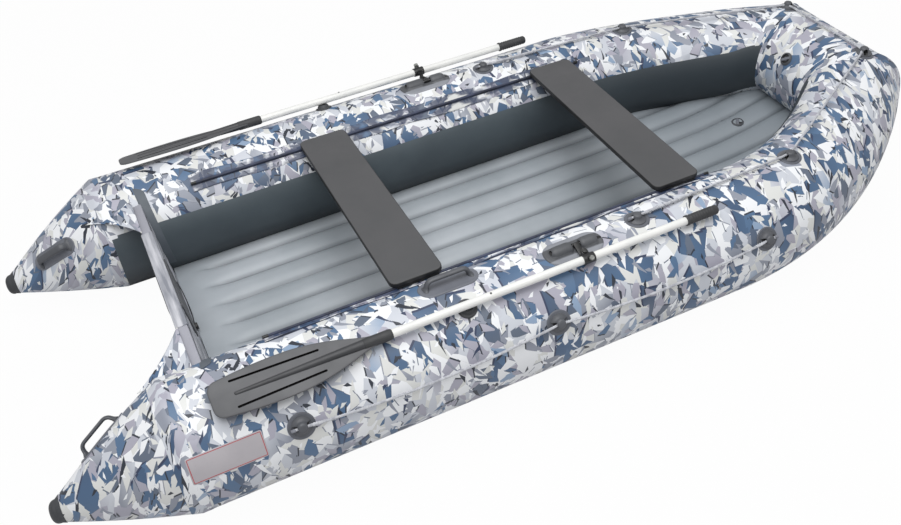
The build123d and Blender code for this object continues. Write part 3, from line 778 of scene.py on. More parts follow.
creaseSettings = {"depth": 0.0022, "spacing": 24.0, "from": 0.35, "seamLift": 0.0009, "seamHalf": 0.032}


def crease(place, angle, along):
    # shallow puckers on the inside of the bend, where the cloth is pushed together
    bend = ease((place["heading"] - 0.05) / creaseSettings["from"])
    inside = max(0.0, math.cos(math.radians(angle - 12))) ** 1.5
    if place["heading"] == 0 or place["heading"] > 1.5 or inside == 0:
        return 0.0
    wander = noise.noise(Vector((along * 2.1, angle * 0.02, 4.2)))
    reach = along * creaseSettings["spacing"] + wander * 2
    wave = noise.noise(Vector((reach, angle * 0.012, 0.7)))
    return -creaseSettings["depth"] * bend * inside * max(0.0, wave * 1.6)


def addSkinPanel(shape, places, start, shift):
    # the print is laid out by the cloth's own lengths from the panel's start, so bends don't pinch it
    around = 96
    along = 0.0
    rows, lengths = [], []
    for i, place in enumerate(places):
        along += (place["centre"] - places[i - 1]["centre"]).length if i else 0.0
        row = []
        for j in range(around + 1):
            angle = -90 + 360 * (j % around) / around
            row.append(onTube(place, angle, crease(place, angle, along)))
        rows.append(row)
        if i:
            lengths.append([far + (a - b).length for far, a, b in zip(lengths[-1], rows[-2], row)])
        else:
            lengths.append([0.0] * (around + 1))
    turns = [math.radians(360 * j / around - 180) for j in range(around + 1)]
    for side in (1, -1):
        maps = []
        for place, distances in zip(places, lengths):
            row = []
            for far, first, turn in zip(distances, lengths[start], turns):
                u = side * (far - first) + shift[0] * (1 + 0.31 * side)
                row.append((u, place["radius"] * turn + shift[1]))
            maps.append(row)
        addGrid(shape, [[Vector((p.x, side * p.y, p.z)) for p in row] for row in rows], maps=maps)


def makeTubeSkin():
    aft = [stationAt(x) for x in evenly(tube["tipX"], tube["coneStart"], 16)[:-1]]
    aft += [stationAt(x) for x in evenly(tube["coneStart"], tube["bowStart"], 84)[:-1]]
    bow = [stationAtHeading(turn) for turn in evenly(0, tube["turns"][1], 64)]
    nose = [stationAtNose(y) for y in evenly(0, cornerY, 14)]
    shape = newShape()
    addSkinPanel(shape, aft + bow, len(aft), (5.0, 5.0))
    addSkinPanel(shape, nose, 0, (0.0, 9.2))
    makePiece("tubeSkin", shape, ["camo"],
              replaces=("side_tube_port", "side_tube_starboard", "bow_tube"))


def addTubePatch(shape, places, angles, thickness, steps=24, along=0.0):
    # a strip lying on the tube with thin upright edges; angles is (low, high) at each place
    edge = 0.0006
    rows = []
    for place, (low, high) in zip(places, angles):
        row = [onTube(place, low, -0.001)]
        row += [onTube(place, angle, thickness if 0 < k < steps else thickness - edge)
                for k, angle in enumerate(evenly(low, high, steps))]
        row.append(onTube(place, high, -0.001))
        rows.append(row)
    ends = []
    for place, (low, high) in ((places[0], angles[0]), (places[-1], angles[-1])):
        ends.append([onTube(place, angle, -0.001) for angle in (low, *evenly(low, high, steps), high)])
    addGrid(shape, [ends[0], *rows, ends[1]], mapStart=(along, angles[0][0] * 0.004))


def makeSeamTapes():
    # bands of the same cloth over the joints round the tube
    half = creaseSettings["seamHalf"]
    lift = creaseSettings["seamLift"]
    shape = newShape()
    cone = [stationAt(x) for x in evenly(tube["coneStart"] - half, tube["coneStart"] + half, 6)]
    whole = (-90, 270)
    addTubePatch(shape, cone, [whole] * len(cone), lift, steps=96, along=2.3)
    back = half / tube["arcs"][1]
    corner = [stationAtHeading(turn) for turn in evenly(tube["turns"][1] - back, tube["turns"][1], 3)]
    corner += [stationAtNose(y) for y in evenly(cornerY, cornerY - half, 3)[1:]]
    addTubePatch(shape, corner, [whole] * len(corner), lift, steps=96, along=7.9)
    makePiece("seamTapes", bothSides(shape), ["camo"], replaces=("bow_tube",))


bandSettings = {
    "top": 31.0, "bottom": -38.0, "start": -1.186, "frontTurn": 43.5, "thickness": 0.0012,
    "patch": (-1.35, -1.19, 31.5, -75.0), "colour": srgb(77, 87, 93), "other": srgb(69, 78, 84),
    # the darkest colour low down and the forward colour are painted shade, for the floor's contact shadow
    # and the bow's shade
    "floorShade": srgb(27, 31, 35), "forward": srgb(52, 60, 66), "floorShadeHeights": (0.09, 0.2), "bowShadeSpan": (0.2, 1.0),
}


def makeBandFabric():
    # slate cloth with painted shade: dimmer low down by the floor and towards the bow
    b = bandSettings
    material, tree, shader = newMaterial("bandFabric", 0.5)
    coords = surfaceCoords(tree)
    x, _, z = splitVector(tree, coords)
    patches = spread(tree, cloud(tree, coords, 5.0, 4.0), 0.35, 0.65)
    colour = mixColour(tree, patches, b["colour"], b["other"])
    colour = mixColour(tree, spread(tree, x, *b["bowShadeSpan"]), colour, b["forward"])
    wander = calc(tree, "MULTIPLY_ADD", cloud(tree, coords, 6.0), 0.03, z)
    colour = mixColour(tree, spread(tree, wander, *b["floorShadeHeights"], 0.85, 0.0), colour, b["floorShade"])
    plug(tree, colour, shader.inputs["Base Color"])
    gloss = spread(tree, cloud(tree, coords, 12.0, 3.0), 0.3, 0.7, 0.42, 0.56)
    plug(tree, gloss, shader.inputs["Roughness"])
    bump(tree, shader, cloud(tree, coords, 700, 2.0), 0.25, 0.0004)
    return material


def makeInnerBands():
    # darker cloth along the inside of the tube above the floor, and a patch aft of the transom
    b = bandSettings
    shape = newShape()
    places = [stationAt(x) for x in evenly(b["start"], tube["bowStart"], 60)[:-1]]
    places += [stationAtHeading(turn) for turn in evenly(0, math.radians(b["frontTurn"]), 40)]
    addTubePatch(shape, places, [(b["bottom"], b["top"])] * len(places), b["thickness"])
    start, end, high, low = b["patch"]
    places = [stationAt(x) for x in evenly(start, end, 12)]
    addTubePatch(shape, places, [(low, high)] * len(places), b["thickness"])
    makePiece("innerBands", bothSides(shape), ["bandFabric"],
              replaces=("transom_bands",))


# the inflated floor with its long lobes
floorSettings = {
    "pitch": 0.1135, "lobeDepth": 0.023, "grooveStart": -1.13, "light": srgb(170, 176, 182),
    # the forward colour is painted shade for the bow end; the groove colour is partly dirt and partly
    # painted shade
    "shade": srgb(150, 157, 163), "grooveDirtAndShade": srgb(76, 82, 88), "forward": srgb(126, 134, 141),
    "bowShadeSpan": (0.1, 1.25),
    "rise": ((-1.3, 0.097), (0.3, 0.097), (0.6, 0.1015), (0.9, 0.113), (1.115, 0.124), (1.265, 0.141),
             (1.36, 0.158), (1.45, 0.176), (1.56, 0.205)),
    "keel": ((-1.3, 0.004), (1.0, 0.004), (1.15, 0.02), (1.3, 0.052), (1.45, 0.105), (1.56, 0.15)),
    "aft": -1.174, "front": 1.56, "halfWidth": 0.47, "lobes": 8,
}


def makeFloorFabric():
    s = floorSettings
    material, tree, shader = newMaterial("floorFabric", 0.44)
    coords = surfaceCoords(tree)
    x, y, z = splitVector(tree, coords)
    patches = spread(tree, cloud(tree, coords, 3.0, 4.0), 0.35, 0.65)
    colour = mixColour(tree, patches, s["light"], s["shade"])
    # painted shade: the floor darkens towards the bow
    colour = mixColour(tree, spread(tree, x, *s["bowShadeSpan"], 0.0, 0.8), colour, s["forward"])
    # darker along the grooves between the lobes, partly dirt and partly painted shade
    lobe = calc(tree, "PINGPONG", y, s["pitch"] / 2)
    grooveDarkening = spread(tree, lobe, 0.0, 0.016, 1.0, 0.0)
    inLobes = spread(tree, x, s["grooveStart"] + 0.03, s["grooveStart"] + 0.13)
    above = spread(tree, z, 0.055, 0.065)
    grooveDarkening = calc(tree, "MULTIPLY", calc(tree, "MULTIPLY", grooveDarkening, inLobes), above)
    colour = mixColour(tree, calc(tree, "MULTIPLY", grooveDarkening, 0.62), colour, s["grooveDirtAndShade"])
    plug(tree, colour, shader.inputs["Base Color"])
    plug(tree, spread(tree, cloud(tree, coords, 9.0), 0.3, 0.7, 0.38, 0.5), shader.inputs["Roughness"])
    bump(tree, shader, cloud(tree, coords, 800, 2.0), 0.1, 0.0004)
    return material


def alongLine(points, x):
    for (x0, z0), (x1, z1) in zip(points, points[1:]):
        if x <= x1:
            return z0 + (z1 - z0) * max(0.0, (x - x0) / (x1 - x0))
    return points[-1][1]


def floorHalf(x):
    # half the floor's width, ending inside the tube
    if x <= tube["bowStart"]:
        return floorSettings["halfWidth"]
    edge = bowPlan(headingAt(min(x + 0.02, cornerX - 0.001)))[1]
    return min(floorSettings["halfWidth"], edge - 0.01)


def floorHeight(x, y):
    f = floorSettings
    crest = alongLine(f["rise"], x)
    across = 1 - abs((y / f["pitch"] + 0.5) % 1 - 0.5) * 2
    depth = f["lobeDepth"] * ease((x - f["grooveStart"]) / 0.16) * (1 - 0.45 * ease((x - 1.1) / 0.35))
    hollow = depth * across ** 2.6
    sag = 0.0009 * noise.noise(Vector((x * 3, y * 4, 1.3)))
    return crest - hollow + sag


def makeFloor():
    f = floorSettings
    columns = f["lobes"] * 20
    rows, under = [], []
    grooved, narrow = f["grooveStart"] + 0.18, 0.6
    stations = evenly(f["aft"], grooved, 24)[:-1] + evenly(grooved, narrow, 50)[:-1]
    stations += evenly(narrow, f["front"], 46)
    for x in stations:
        half = floorHalf(x)
        rows.append([Vector((x, y, floorHeight(x, y))) for y in evenly(half, -half, columns)])
        low = alongLine(f["keel"], x)
        under.append([Vector((x, y, low)) for y in evenly(half, -half, columns)])
    shape = newShape()
    addGrid(shape, rows)
    addGrid(shape, under)
    for end in (0, -1):
        addGrid(shape, [[a, b] for a, b in zip(rows[end], under[end])])
    for end in (0, -1):
        addGrid(shape, [[a[end], b[end]] for a, b in zip(rows, under)])
    makePiece("inflatedFloor", shape, ["floor"], replaces=("inflatable_floor",))


inks["bandFabric"] = makeBandFabric()
inks["floor"] = makeFloorFabric()
makeTubeSkin()
makeSeamTapes()
makeInnerBands()
makeFloor()
hardPart("keel_strip", "bandFabric", "hull")
print("tube and floor built")


# transom board, its trim, pads, lining, gussets and plug
transom = {
    "front": -1.17, "rake": math.radians(5.7), "thick": 0.035, "top": 0.4, "bottom": 0.012,
    "openHalf": 0.267, "trimWall": 0.003, "trimDepth": 0.026, "bandWide": 0.03, "bandAngles": (-20, 72),
}
boardFacing = (math.cos(transom["rake"]), 0, math.sin(transom["rake"]))
boardFrame = frameMatrix((transom["front"], 0, 0), (0, 1, 0), boardFacing)


def boardHalf(height, inset=0.004):
    # half the board's width at this height, just inside the tube
    z = height * math.cos(transom["rake"])
    r = tube["radius"]
    return tube["offset"] - math.sqrt(r * r - (z - r) ** 2) + inset


def makeTransom():
    t = transom
    side = [(boardHalf(u), u) for u in evenly(t["bottom"], t["top"], 24)]
    outline = side + [(-x, u) for x, u in reversed(side)]
    shape = newShape()
    addPlate(shape, outline, boardFrame, -t["thick"], 0, 0.003)
    makePiece("transomBoard", shape, ["boardPaint"], replaces=("transom_board",),
              sharp=50)


def makeTransomTrim():
    # U-shaped cover over the open middle of the board
    t = transom
    wall, thick, top = t["trimWall"], t["thick"], t["top"]
    hem = top - t["trimDepth"] + wall
    outer = -thick - wall
    corners = [(0.0, hem), (wall, hem), (wall, top + wall), (outer, top + wall), (outer, hem),
               (-thick, hem), (-thick, top), (0.0, top)]
    rows = []
    for y in evenly(-t["openHalf"], t["openHalf"], 20):
        rows.append([boardFrame @ Vector((y, u, w)) for w, u in [*corners, corners[0]]])
    shape = newShape()
    addGrid(shape, rows)
    addCap(shape, rows[0], flip=True)
    addCap(shape, rows[-1])
    makePiece("transomTrim", shape, ["trimCloth"], replaces=("transom_trim",),
              bevel=0.0016)


motorPad = {
    "size": (0.28, 0.17), "thick": 0.008, "top": 0.372, "corner": 0.018, "sunk": 0.0022,
    "rim": ((0, 0.004), (0, 0.0072), (0.0008, 0.008), (0.0105, 0.008), (0.012, 0.0072), (0.012, 0.004)),
    "barSize": (0.23, 0.006, 0.0029), "barSpan": 0.054, "bars": 7, "barSunk": 0.0006,
}


def makeMotorPad(node, backing, facing):
    # plate with a raised rim and bars across it; facing is 1 into the boat and -1 aft
    m = motorPad
    outline = roundedOutline(*m["size"], m["corner"])
    place = boardFrame @ Matrix.Translation((0, m["top"] - m["size"][1] / 2, backing))
    if facing < 0:
        place = place @ Matrix.Rotation(math.pi, 4, "Y")
    shape = newShape()
    addPlate(shape, outline, place, 0, m["thick"] - m["sunk"], 0.001)
    addGrid(shape, [ring(shrink(outline, inset), place, lift) for inset, lift in m["rim"]])
    bar = roundedOutline(*m["barSize"], 4)
    for up in evenly(-m["barSpan"], m["barSpan"], m["bars"] - 1):
        high = m["thick"] - m["barSunk"]
        addPlate(shape, [(x, y + up) for x, y in bar], place, m["thick"] / 2, high, 0.0008)
    makePiece(node + ".finished", shape, ["padPlastic"], replaces=(node,))


lining = {
    # the two darker colours are painted shade for the cloth's folds and creases
    "light": srgb(212, 213, 220), "foldShade": srgb(118, 121, 130), "dark": srgb(92, 96, 106),
    "streaks": (30, 1.4, 30), "creaseShadeScale": (60, 3, 60), "bottom": 0.085, "top": 0.369, "lift": 0.0012,
    "relief": 0.0042, "padMargin": 0.012, "foldShare": 0.75, "rippleShare": 0.3,
}


def makeLiningCloth():
    # light and darker streaks across the board with fine dark creases, painted shade for the cloth's folds
    look = lining
    material, tree, shader = newMaterial("liningCloth", 0.5)
    coords = surfaceCoords(tree)
    streaks = cloud(tree, vectorCalc(tree, "MULTIPLY", coords, look["streaks"]), 2.4, 4.0)
    colour = mixColour(tree, spread(tree, streaks, 0.36, 0.64), look["foldShade"], look["light"])
    fine = cloud(tree, vectorCalc(tree, "MULTIPLY", coords, look["creaseShadeScale"]), 3.0, 3.0)
    colour = mixColour(tree, spread(tree, fine, 0.56, 0.6), colour, look["dark"])
    plug(tree, colour, shader.inputs["Base Color"])
    bump(tree, shader, cloud(tree, coords, 800, 2.0), 0.1, 0.0004)
    return material


def makeLining():
    # loose cloth bonded over the board's front face, pulled into long folds
    c = lining
    padHalf = motorPad["size"][0] / 2 + c["padMargin"]
    padFoot = motorPad["top"] - motorPad["size"][1] - c["padMargin"]
    rows = []
    for u in evenly(c["bottom"], c["top"], 64):
        half = boardHalf(u, 0.0)
        row = []
        for s in evenly(-1, 1, 90):
            fold = noise.noise(Vector((u * 34 + s * 1.6, s * 1.1, 2.0)))
            ripple = noise.noise(Vector((u * 90, s * 3.2, 7.0)))
            loose = 0.55 + c["foldShare"] * fold + c["rippleShare"] * ripple
            edge = ease((1 - abs(s)) * 9) * ease((c["top"] - u) * 60)
            besidePad = 1 - ease((padHalf - abs(s) * half) * 40) * ease((u - padFoot) * 50)
            lift = c["lift"] + c["relief"] * edge * besidePad * loose
            row.append(boardFrame @ Vector((s * half, u, max(c["lift"] / 2, lift))))
        rows.append(row)
    shape = newShape()
    addGrid(shape, rows)
    makePiece("transomLining", shape, ["liningCloth"], replaces=("transom_bands",),
              sharp=60)


def makeJointTapes():
    # tape on the tube along the board's front edge, following the board's lean
    t = transom
    shape = newShape()
    rows = []
    for angle in evenly(*t["bandAngles"], 48):
        height = tube["radius"] * (1 + math.sin(math.radians(angle)))
        start = t["front"] - height * math.tan(t["rake"])
        wide = t["bandWide"] * ease((t["bandAngles"][1] - angle) / 7) ** 0.5
        row = [onTube(stationAt(start - 0.01), angle, -0.001)]
        row += [onTube(stationAt(start + wide * s), angle, 0.002) for s in (0, 0.02, 0.5, 0.98)]
        row.append(onTube(stationAt(start + wide), angle, 0.0005))
        rows.append(row)
    addGrid(shape, rows)
    makePiece("jointTapes", bothSides(shape), ["tape"], replaces=("transom_bands",))


gussetSettings = {
    "outer": (0.468, 0.4085), "aft": (-1.42, 0.462, 0.3745), "hollow": 0.02, "sag": 0.006, "thick": 0.0012,
    "cols": 26, "rows": 20, "flat": (0.2, 0.19),
}


def makeGussets():
    # camouflage cloth pulled from the board's top corner out and aft onto the tube
    g, t = gussetSettings, transom
    backX = t["front"] - t["top"] * math.tan(t["rake"]) - t["thick"]
    inner = Vector((backX + 0.004, t["openHalf"], t["top"] + 0.0045))
    outer = Vector((backX + 0.004, *g["outer"]))
    aft = Vector(g["aft"])
    for side, name in ((1, "port"), (-1, "starboard")):
        rows = []
        for s in evenly(0, 1, g["rows"]):
            start = inner.lerp(aft, s)
            bow = 4 * s * (1 - s)
            start += Vector((0.35, 0.94, 0)) * g["hollow"] * bow * (1 + 0.25 * side)
            end = outer.lerp(aft, s)
            row = []
            for k in evenly(0, 1, g["cols"]):
                point = start.lerp(end, k)
                ripple = noise.noise(Vector((point.x * 26 + side * 3, point.y * 17, 5.0)))
                free = ease(4 * k * (1 - k)) * ease(4 * s * (1 - s) + 0.1)
                point.z += g["sag"] * (0.5 * ripple - 0.35) * free
                row.append(Vector((point.x, side * point.y, point.z)))
            rows.append(row)
        shape = newShape()
        addGrid(shape, rows)
        piece = makePiece("gusset" + name.capitalize(), shape, ["camo"],
                          replaces=("transom_gussets",), outward=False)
        thicker = piece.modifiers.new("cloth", "SOLIDIFY")
        thicker.thickness = g["thick"]
        thicker.offset = 0


# places are across the board, up it and out of its front face
drainPlug = {
    "place": (0.012, 0.12, 0.0), "flutes": 14, "fluteDepth": 0.0008,
    "profile": ((0.0195, 0), (0.0195, 0.004), (0.0185, 0.0055), (0.0135, 0.0055), (0.0132, 0.012),
                (0.0118, 0.0138), (0.0, 0.014)),
    "strap": ((0.024, 0.125, 0.004), (0.05, 0.14, 0.010), (0.09, 0.165, 0.012), (0.14, 0.185, 0.011),
              (0.19, 0.187, 0.006)),
    "strapSize": (0.0045, 0.0017), "strapEnd": (0.192, 0.187, 0.0),
    "button": ((0.011, 0), (0.011, 0.006), (0.009, 0.0075), (0.0, 0.0078)),
}


def makeDrainPlug():
    # plug on the front face, with a moulded strap that keeps it from getting lost
    d = drainPlug
    shape = newShape()
    place = boardFrame @ Matrix.Translation(d["place"])
    addLathe(shape, d["profile"], place, sides=48, flutes=d["flutes"], fluteDepth=d["fluteDepth"])
    strap = smoothPath([boardFrame @ Vector(bend) for bend in d["strap"]], 0.03)
    upBoard = boardFrame.to_3x3() @ Vector((0, 1, 0))
    addRod(shape, strap, [d["strapSize"]] * len(strap), sides=12, firstSide=upBoard)
    end = boardFrame @ Matrix.Translation(d["strapEnd"])
    addLathe(shape, d["button"], end, sides=24)
    makePiece("drainPlug.finished", shape, ["blackPlastic"],
              replaces=("drain_plug",))


inks["liningCloth"] = makeLiningCloth()
makeTransom()
makeTransomTrim()
makeMotorPad("motor_pad_inner", 0.0, 1)
makeMotorPad("motor_pad_outer", -transom["thick"], -1)
makeLining()
makeJointTapes()
makeGussets()
makeDrainPlug()
hardPart("drain_flap", "blackPlastic", "hull", bevel=0.0014)
print("transom built")


# seats and the rails that they slide on
seat = {
    "wide": 0.19, "long": 0.94, "thick": 0.018, "top": 0.437, "corner": 0.026, "edge": 0.0024,
    "places": {"aft": -0.474, "forward": 0.551},
}
rail = {
    "start": -1.01, "end": 0.69, "angle": 57.0, "half": 9.0, "bead": 0.0052, "beadAt": 0.227,
    "cloth": 0.0009, "endCap": 0.02, "curl": 0.005, "wander": 2.6,
}


def makeSeat(name):
    shape = newShape()
    outline = roundedOutline(seat["wide"], seat["long"], seat["corner"], 10)
    place = Matrix.Translation((seat["places"][name], 0, 0))
    addPlate(shape, outline, place, seat["top"] - seat["thick"], seat["top"], seat["edge"], sideInk=1)
    body = "seat_" + name
    makePiece("seatBoard." + name, shape, ["seatPaint", "blackEdge"], body=body,
              replaces=("seat_board_" + name,))
    hardPart("seat_clips_" + name, "blackPlastic", body, bevel=0.0012)


def railProfile(x):
    # (angle, distance from the tube's middle) across the flap and round its bead; the flap's edges curl
    low, high = rail["angle"] - rail["half"], rail["angle"] + rail["half"]
    r = tube["radius"]
    lift = r + rail["cloth"]
    low += rail["wander"] * noise.noise(Vector((x * 5, 8.3, 0.0)))
    high += rail["wander"] * noise.noise(Vector((x * 6, 3.3, 0.0)))
    lowCurl = rail["curl"] * (0.6 + 1.4 * noise.noise(Vector((x * 9, 1.7, 0.0))))
    highCurl = rail["curl"] * (0.6 + 1.4 * noise.noise(Vector((x * 8, 5.1, 0.0))))
    points = [(low, r - 0.001), (low, lift + lowCurl - 0.0004), (low + 0.15, lift + lowCurl),
              (low + 2.0, lift + lowCurl * 0.7), (low + 4.5, lift), (rail["angle"] - 1.9, lift)]
    for k in range(17):
        turn = math.radians(-128 + 256 * k / 16)
        out = rail["beadAt"] + rail["bead"] * math.cos(turn)
        points.append((rail["angle"] + math.degrees(rail["bead"] * math.sin(turn) / r), out))
    points += [(rail["angle"] + 1.9, lift), (high - 4.5, lift), (high - 2.0, lift + highCurl * 0.7),
               (high - 0.15, lift + highCurl), (high, lift + highCurl - 0.0004), (high, r - 0.001)]
    return points


def makeRails():
    rows = []
    for x in evenly(rail["start"], rail["end"], 240):
        place = stationAt(x)
        rows.append([onTube(place, angle, out - tube["radius"]) for angle, out in railProfile(x)])
    shape = newShape()
    for start, end in ((1, 6), (22, 28)):
        addGrid(shape, [row[start:end] for row in rows], mapStart=(11.3, 3.1))
    # the bead and the flaps' upright edges take the dark navy painted shade, for the shadow under the
    # curled flap
    for start, end in ((0, 2), (5, 23), (27, 29)):
        addGrid(shape, [row[start:end] for row in rows], ink=1)
    addCap(shape, rows[0], flip=True)
    addCap(shape, rows[-1])
    makePiece("seatRails.finished", bothSides(shape), ["railCamo", "railPaintedShade"],
              replaces=("seat_rails",), sharp=50)
    caps = newShape()
    for start, end in ((rail["start"] - 0.001, rail["start"] + rail["endCap"]),
                       (rail["end"] - rail["endCap"], rail["end"] + 0.001)):
        middle = onTube(stationAt(start), rail["angle"], rail["beadAt"] - tube["radius"])
        path = [Vector((x, middle.y, middle.z)) for x in (start, start + 0.001, end - 0.001, end)]
        addRod(caps, path, [(r, r) for r in (0.005, 0.0059, 0.0059, 0.005)], sides=20)
    makePiece("railEnds", bothSides(caps), ["blackPlastic"],
              replaces=("seat_rails",))


for name in seat["places"]:
    makeSeat(name)
makeRails()
print("seats built")


# oars: white shaft, black grip and socket, grey blade
oar = {
    "y": 0.682, "z": 0.452, "tilt": math.radians(20), "lockX": 0.045, "shaft": 0.014, "aftX": -0.69,
    "foreX": 0.545, "socket": (-0.745, -0.654, 0.0175), "grip": (0.428, 0.558, 0.017), "buttonX": -0.314,
    "tip": 1.274, "neck": 0.752, "tipCorner": 0.034, "thick": 0.007,
    "halves": ((0.752, 0.0165), (0.78, 0.021), (0.815, 0.031), (0.85, 0.0425), (0.9, 0.0555),
               (0.95, 0.065), (1.0, 0.071), (1.06, 0.0725), (1.12, 0.0712), (1.18, 0.067),
               (1.238, 0.0608)),
    "rims": ((0.0085, -1.0), (0.003, -0.92), (0.0012, -0.75), (0.0, -0.4), (0.0, 0.4), (0.0012, 0.75),
             (0.003, 0.92), (0.0085, 1.0)),
    "slotFrom": (1.206, 0.0435), "slotTo": (0.925, 0.036), "slotWide": 0.0075, "slotFloor": 0.0012,
    "ribTip": 1.203, "ribThin": 0.0066, "ribThick": 0.0172,
}


def oarFrame(side):
    # x aft along the oar, y inboard and up, z out of the boat
    lean = oar["tilt"]
    outward = (0, math.sin(lean), math.cos(lean))
    place = frameMatrix((oar["lockX"], oar["y"], oar["z"]), (-1, 0, 0), outward)
    if side < 0:
        place = Matrix.Scale(-1, 4, (0, 1, 0)) @ place
    return place


def cornerArc(middleX, middleY, radius, start, end, steps):
    return [(middleX + radius * math.cos(math.radians(a)), middleY + radius * math.sin(math.radians(a)))
            for a in evenly(start, end, steps)]


def bladeOutline():
    # a leaf, widest past the middle of the slots, that narrows slowly into the socket
    o = oar
    corners = [Vector((x, y, 0)) for x, y in o["halves"]]
    upper = [(p.x, p.y) for p in smoothPath(corners, 0.02, 0.006)]
    r = o["tipCorner"]
    upper += cornerArc(o["tip"] - r, upper[-1][1] - r, r, 78, 0, 12)
    lower = [(x, -y) for x, y in reversed(upper)]
    return list(reversed(upper + lower))


def makeSlots(place, name):
    # two long cuts from each face, which leave a thin black floor between them, painted shade standing in
    # for the open slot
    o = oar
    cutter = newShape()
    (x0, y0), (x1, y1) = o["slotFrom"], o["slotTo"]
    slot = roundedOutline(math.hypot(x1 - x0, y1 - y0), o["slotWide"], o["slotWide"] / 2.1, 4)
    for sign in (1, -1):
        lean = math.atan2(sign * (y1 - y0), x1 - x0)
        middle = Matrix.Translation(((x0 + x1) / 2, sign * (y0 + y1) / 2, 0))
        middle = middle @ Matrix.Rotation(lean, 4, "Z")
        for low, high in ((o["slotFloor"], 0.02), (-0.02, -o["slotFloor"])):
            addPlate(cutter, slot, place @ middle, low, high, 0.0002, ink=1)
    return makePiece("cutter." + name, cutter, ["bladePlastic", "slotShade"], body=None)


def makeRib(place, name):
    # tapered middle rib with a round end
    o = oar
    shape = newShape()
    path, sizes = [], []
    start, end, thin = o["ribTip"], o["neck"] - 0.004, o["ribThin"]
    for x in [*evenly(start, start - 0.01, 8)[:-1], *evenly(start - 0.01, end, 30)]:
        size = thin + (o["ribThick"] - thin) * (start - x) / (start - end)
        gone = max(0.0, 1 - (start - x + 0.0001) / 0.007)
        close = math.sqrt(1 - gone * gone)
        path.append(place @ Vector((x, 0, 0)))
        sizes.append((size * close, size * close))
    addRod(shape, path, sizes, sides=28, firstSide=place.to_3x3() @ Vector((0, 1, 0)))
    makePiece("bladeRib." + name, shape, ["ribPlastic"], body="oar_" + name,
              replaces=("oar_blade_" + name,))


def makeBlade(side, name):
    o = oar
    place = oarFrame(side)
    outline = bladeOutline()
    rows = [ring(shrink(outline, inset), place, lift * o["thick"] / 2) for inset, lift in o["rims"]]
    shape = newShape()
    addGrid(shape, rows)
    addCap(shape, rows[0], flip=True)
    addCap(shape, rows[-1])
    piece = makePiece("blade." + name, shape, ["bladePlastic", "slotShade"], body=None, sharp=28)
    carve(piece, makeSlots(place, name))
    attach(piece, "oar_" + name, ("oar_blade_" + name,))
    makeRib(place, name)


def alongOar(side, stops, sides=40):
    # a turned part on the oar's line; stops are (distance along the boat, radius)
    place = Matrix.Translation((0, side * oar["y"], oar["z"])) @ Matrix.Rotation(math.pi / 2, 4, "Y")
    shape = newShape()
    addLathe(shape, [(r, x) for x, r in stops], place, sides=sides)
    return shape


def makeOar(side, name):
    o = oar
    body = "oar_" + name
    shaft = alongOar(side, [(o["aftX"], o["shaft"]), (o["foreX"], o["shaft"])])
    button = Matrix.Translation((o["buttonX"], side * o["y"], o["z"]))
    button = button @ Matrix.Rotation(-side * math.radians(12), 4, "X")
    profile = [(0.0036, 0.012), (0.0036, 0.0146), (0.0028, 0.0154), (0.0, 0.0155)]
    addLathe(shaft, profile, button, ink=1, sides=20)
    makePiece("oarShaft." + name, shaft, ["shaftPaint", "gripRubber"], body=body,
              replaces=("oar_shaft_" + name,))
    start, end, r = o["grip"]
    stops = [(start, 0.0142), (start, r + 0.0006), (start + 0.002, r + 0.0016),
             (start + 0.008, r + 0.0016), (start + 0.01, r - 0.001)]
    for k in range(9):
        x = start + 0.016 + k * 0.0105
        stops += [(x, r - 0.001), (x + 0.002, r + 0.0004)]
        stops += [(x + 0.006, r + 0.0004), (x + 0.008, r - 0.001)]
    stops += [(end - 0.012, r), (end - 0.006, r - 0.001), (end - 0.002, r - 0.0045), (end, r - 0.009),
              (end + 0.0002, 0.0)]
    makePiece("oarGrip." + name, alongOar(side, stops), ["gripRubber"], body=body,
              replaces=("oar_grip_" + name,), sharp=50)
    start, end, r = o["socket"]
    stops = [(start - 0.008, r - 0.003), (start - 0.003, r - 0.0005), (start, r),
             (end - 0.012, r + 0.0004), (end - 0.006, r), (end - 0.002, r - 0.0012), (end, r - 0.003),
             (end, 0.0138)]
    makePiece("oarSocket." + name, alongOar(side, stops, 48), ["gripRubber"], body=body,
              replaces=("oar_socket_" + name,), sharp=50)
    makeBlade(side, name)


# oarlocks, rests, handles and everything else fixed on the tube
bowLine = [stationAtHeading(turn) for turn in evenly(0, tube["turns"][1], 160)]
bowLine += [stationAtNose(y) for y in evenly(cornerY, -0.1, 60)[1:]]


def onSkin(point, lift):
    # the nearest point of the tube's skin, raised by lift
    side = -1 if point.y < 0 else 1
    flat = Vector((point.x, abs(point.y), point.z))
    if flat.x <= tube["bowStart"]:
        place = stationAt(flat.x)
        centre, radius = place["centre"], place["radius"]
        out = Vector((0, flat.y - centre.y, flat.z - centre.z)).normalized()
    else:
        best = min(bowLine, key=lambda s: (s["centre"] - flat).length_squared)
        k = bowLine.index(best)
        a, b = bowLine[max(0, k - 1)], bowLine[min(len(bowLine) - 1, k + 1)]
        line = b["centre"] - a["centre"]
        share = min(1.0, max(0.0, (flat - a["centre"]).dot(line) / line.length_squared))
        centre = a["centre"].lerp(b["centre"], share)
        radius = a["radius"] + (b["radius"] - a["radius"]) * share
        out = (flat - centre).normalized()
    found = centre + out * (radius + lift)
    return Vector((found.x, side * found.y, found.z))


def skinRing(outline, place, lift):
    return [onSkin(place @ Vector((x, y, 0)), lift) for x, y in [*outline, outline[0]]]


def addSkinPad(shape, outline, place, profile, ink=0, rings=6):
    # a soft plate that follows the tube; profile is (how far in from the rim, how high)
    rows = [skinRing(shrink(outline, inset), place, lift) for inset, lift in profile]
    inset, lift = profile[-1]
    top = shrink(outline, inset)
    rows += [skinRing([(x * k, y * k) for x, y in top], place, lift) for k in evenly(1, 0.001, rings)[1:]]
    addGrid(shape, rows, ink)


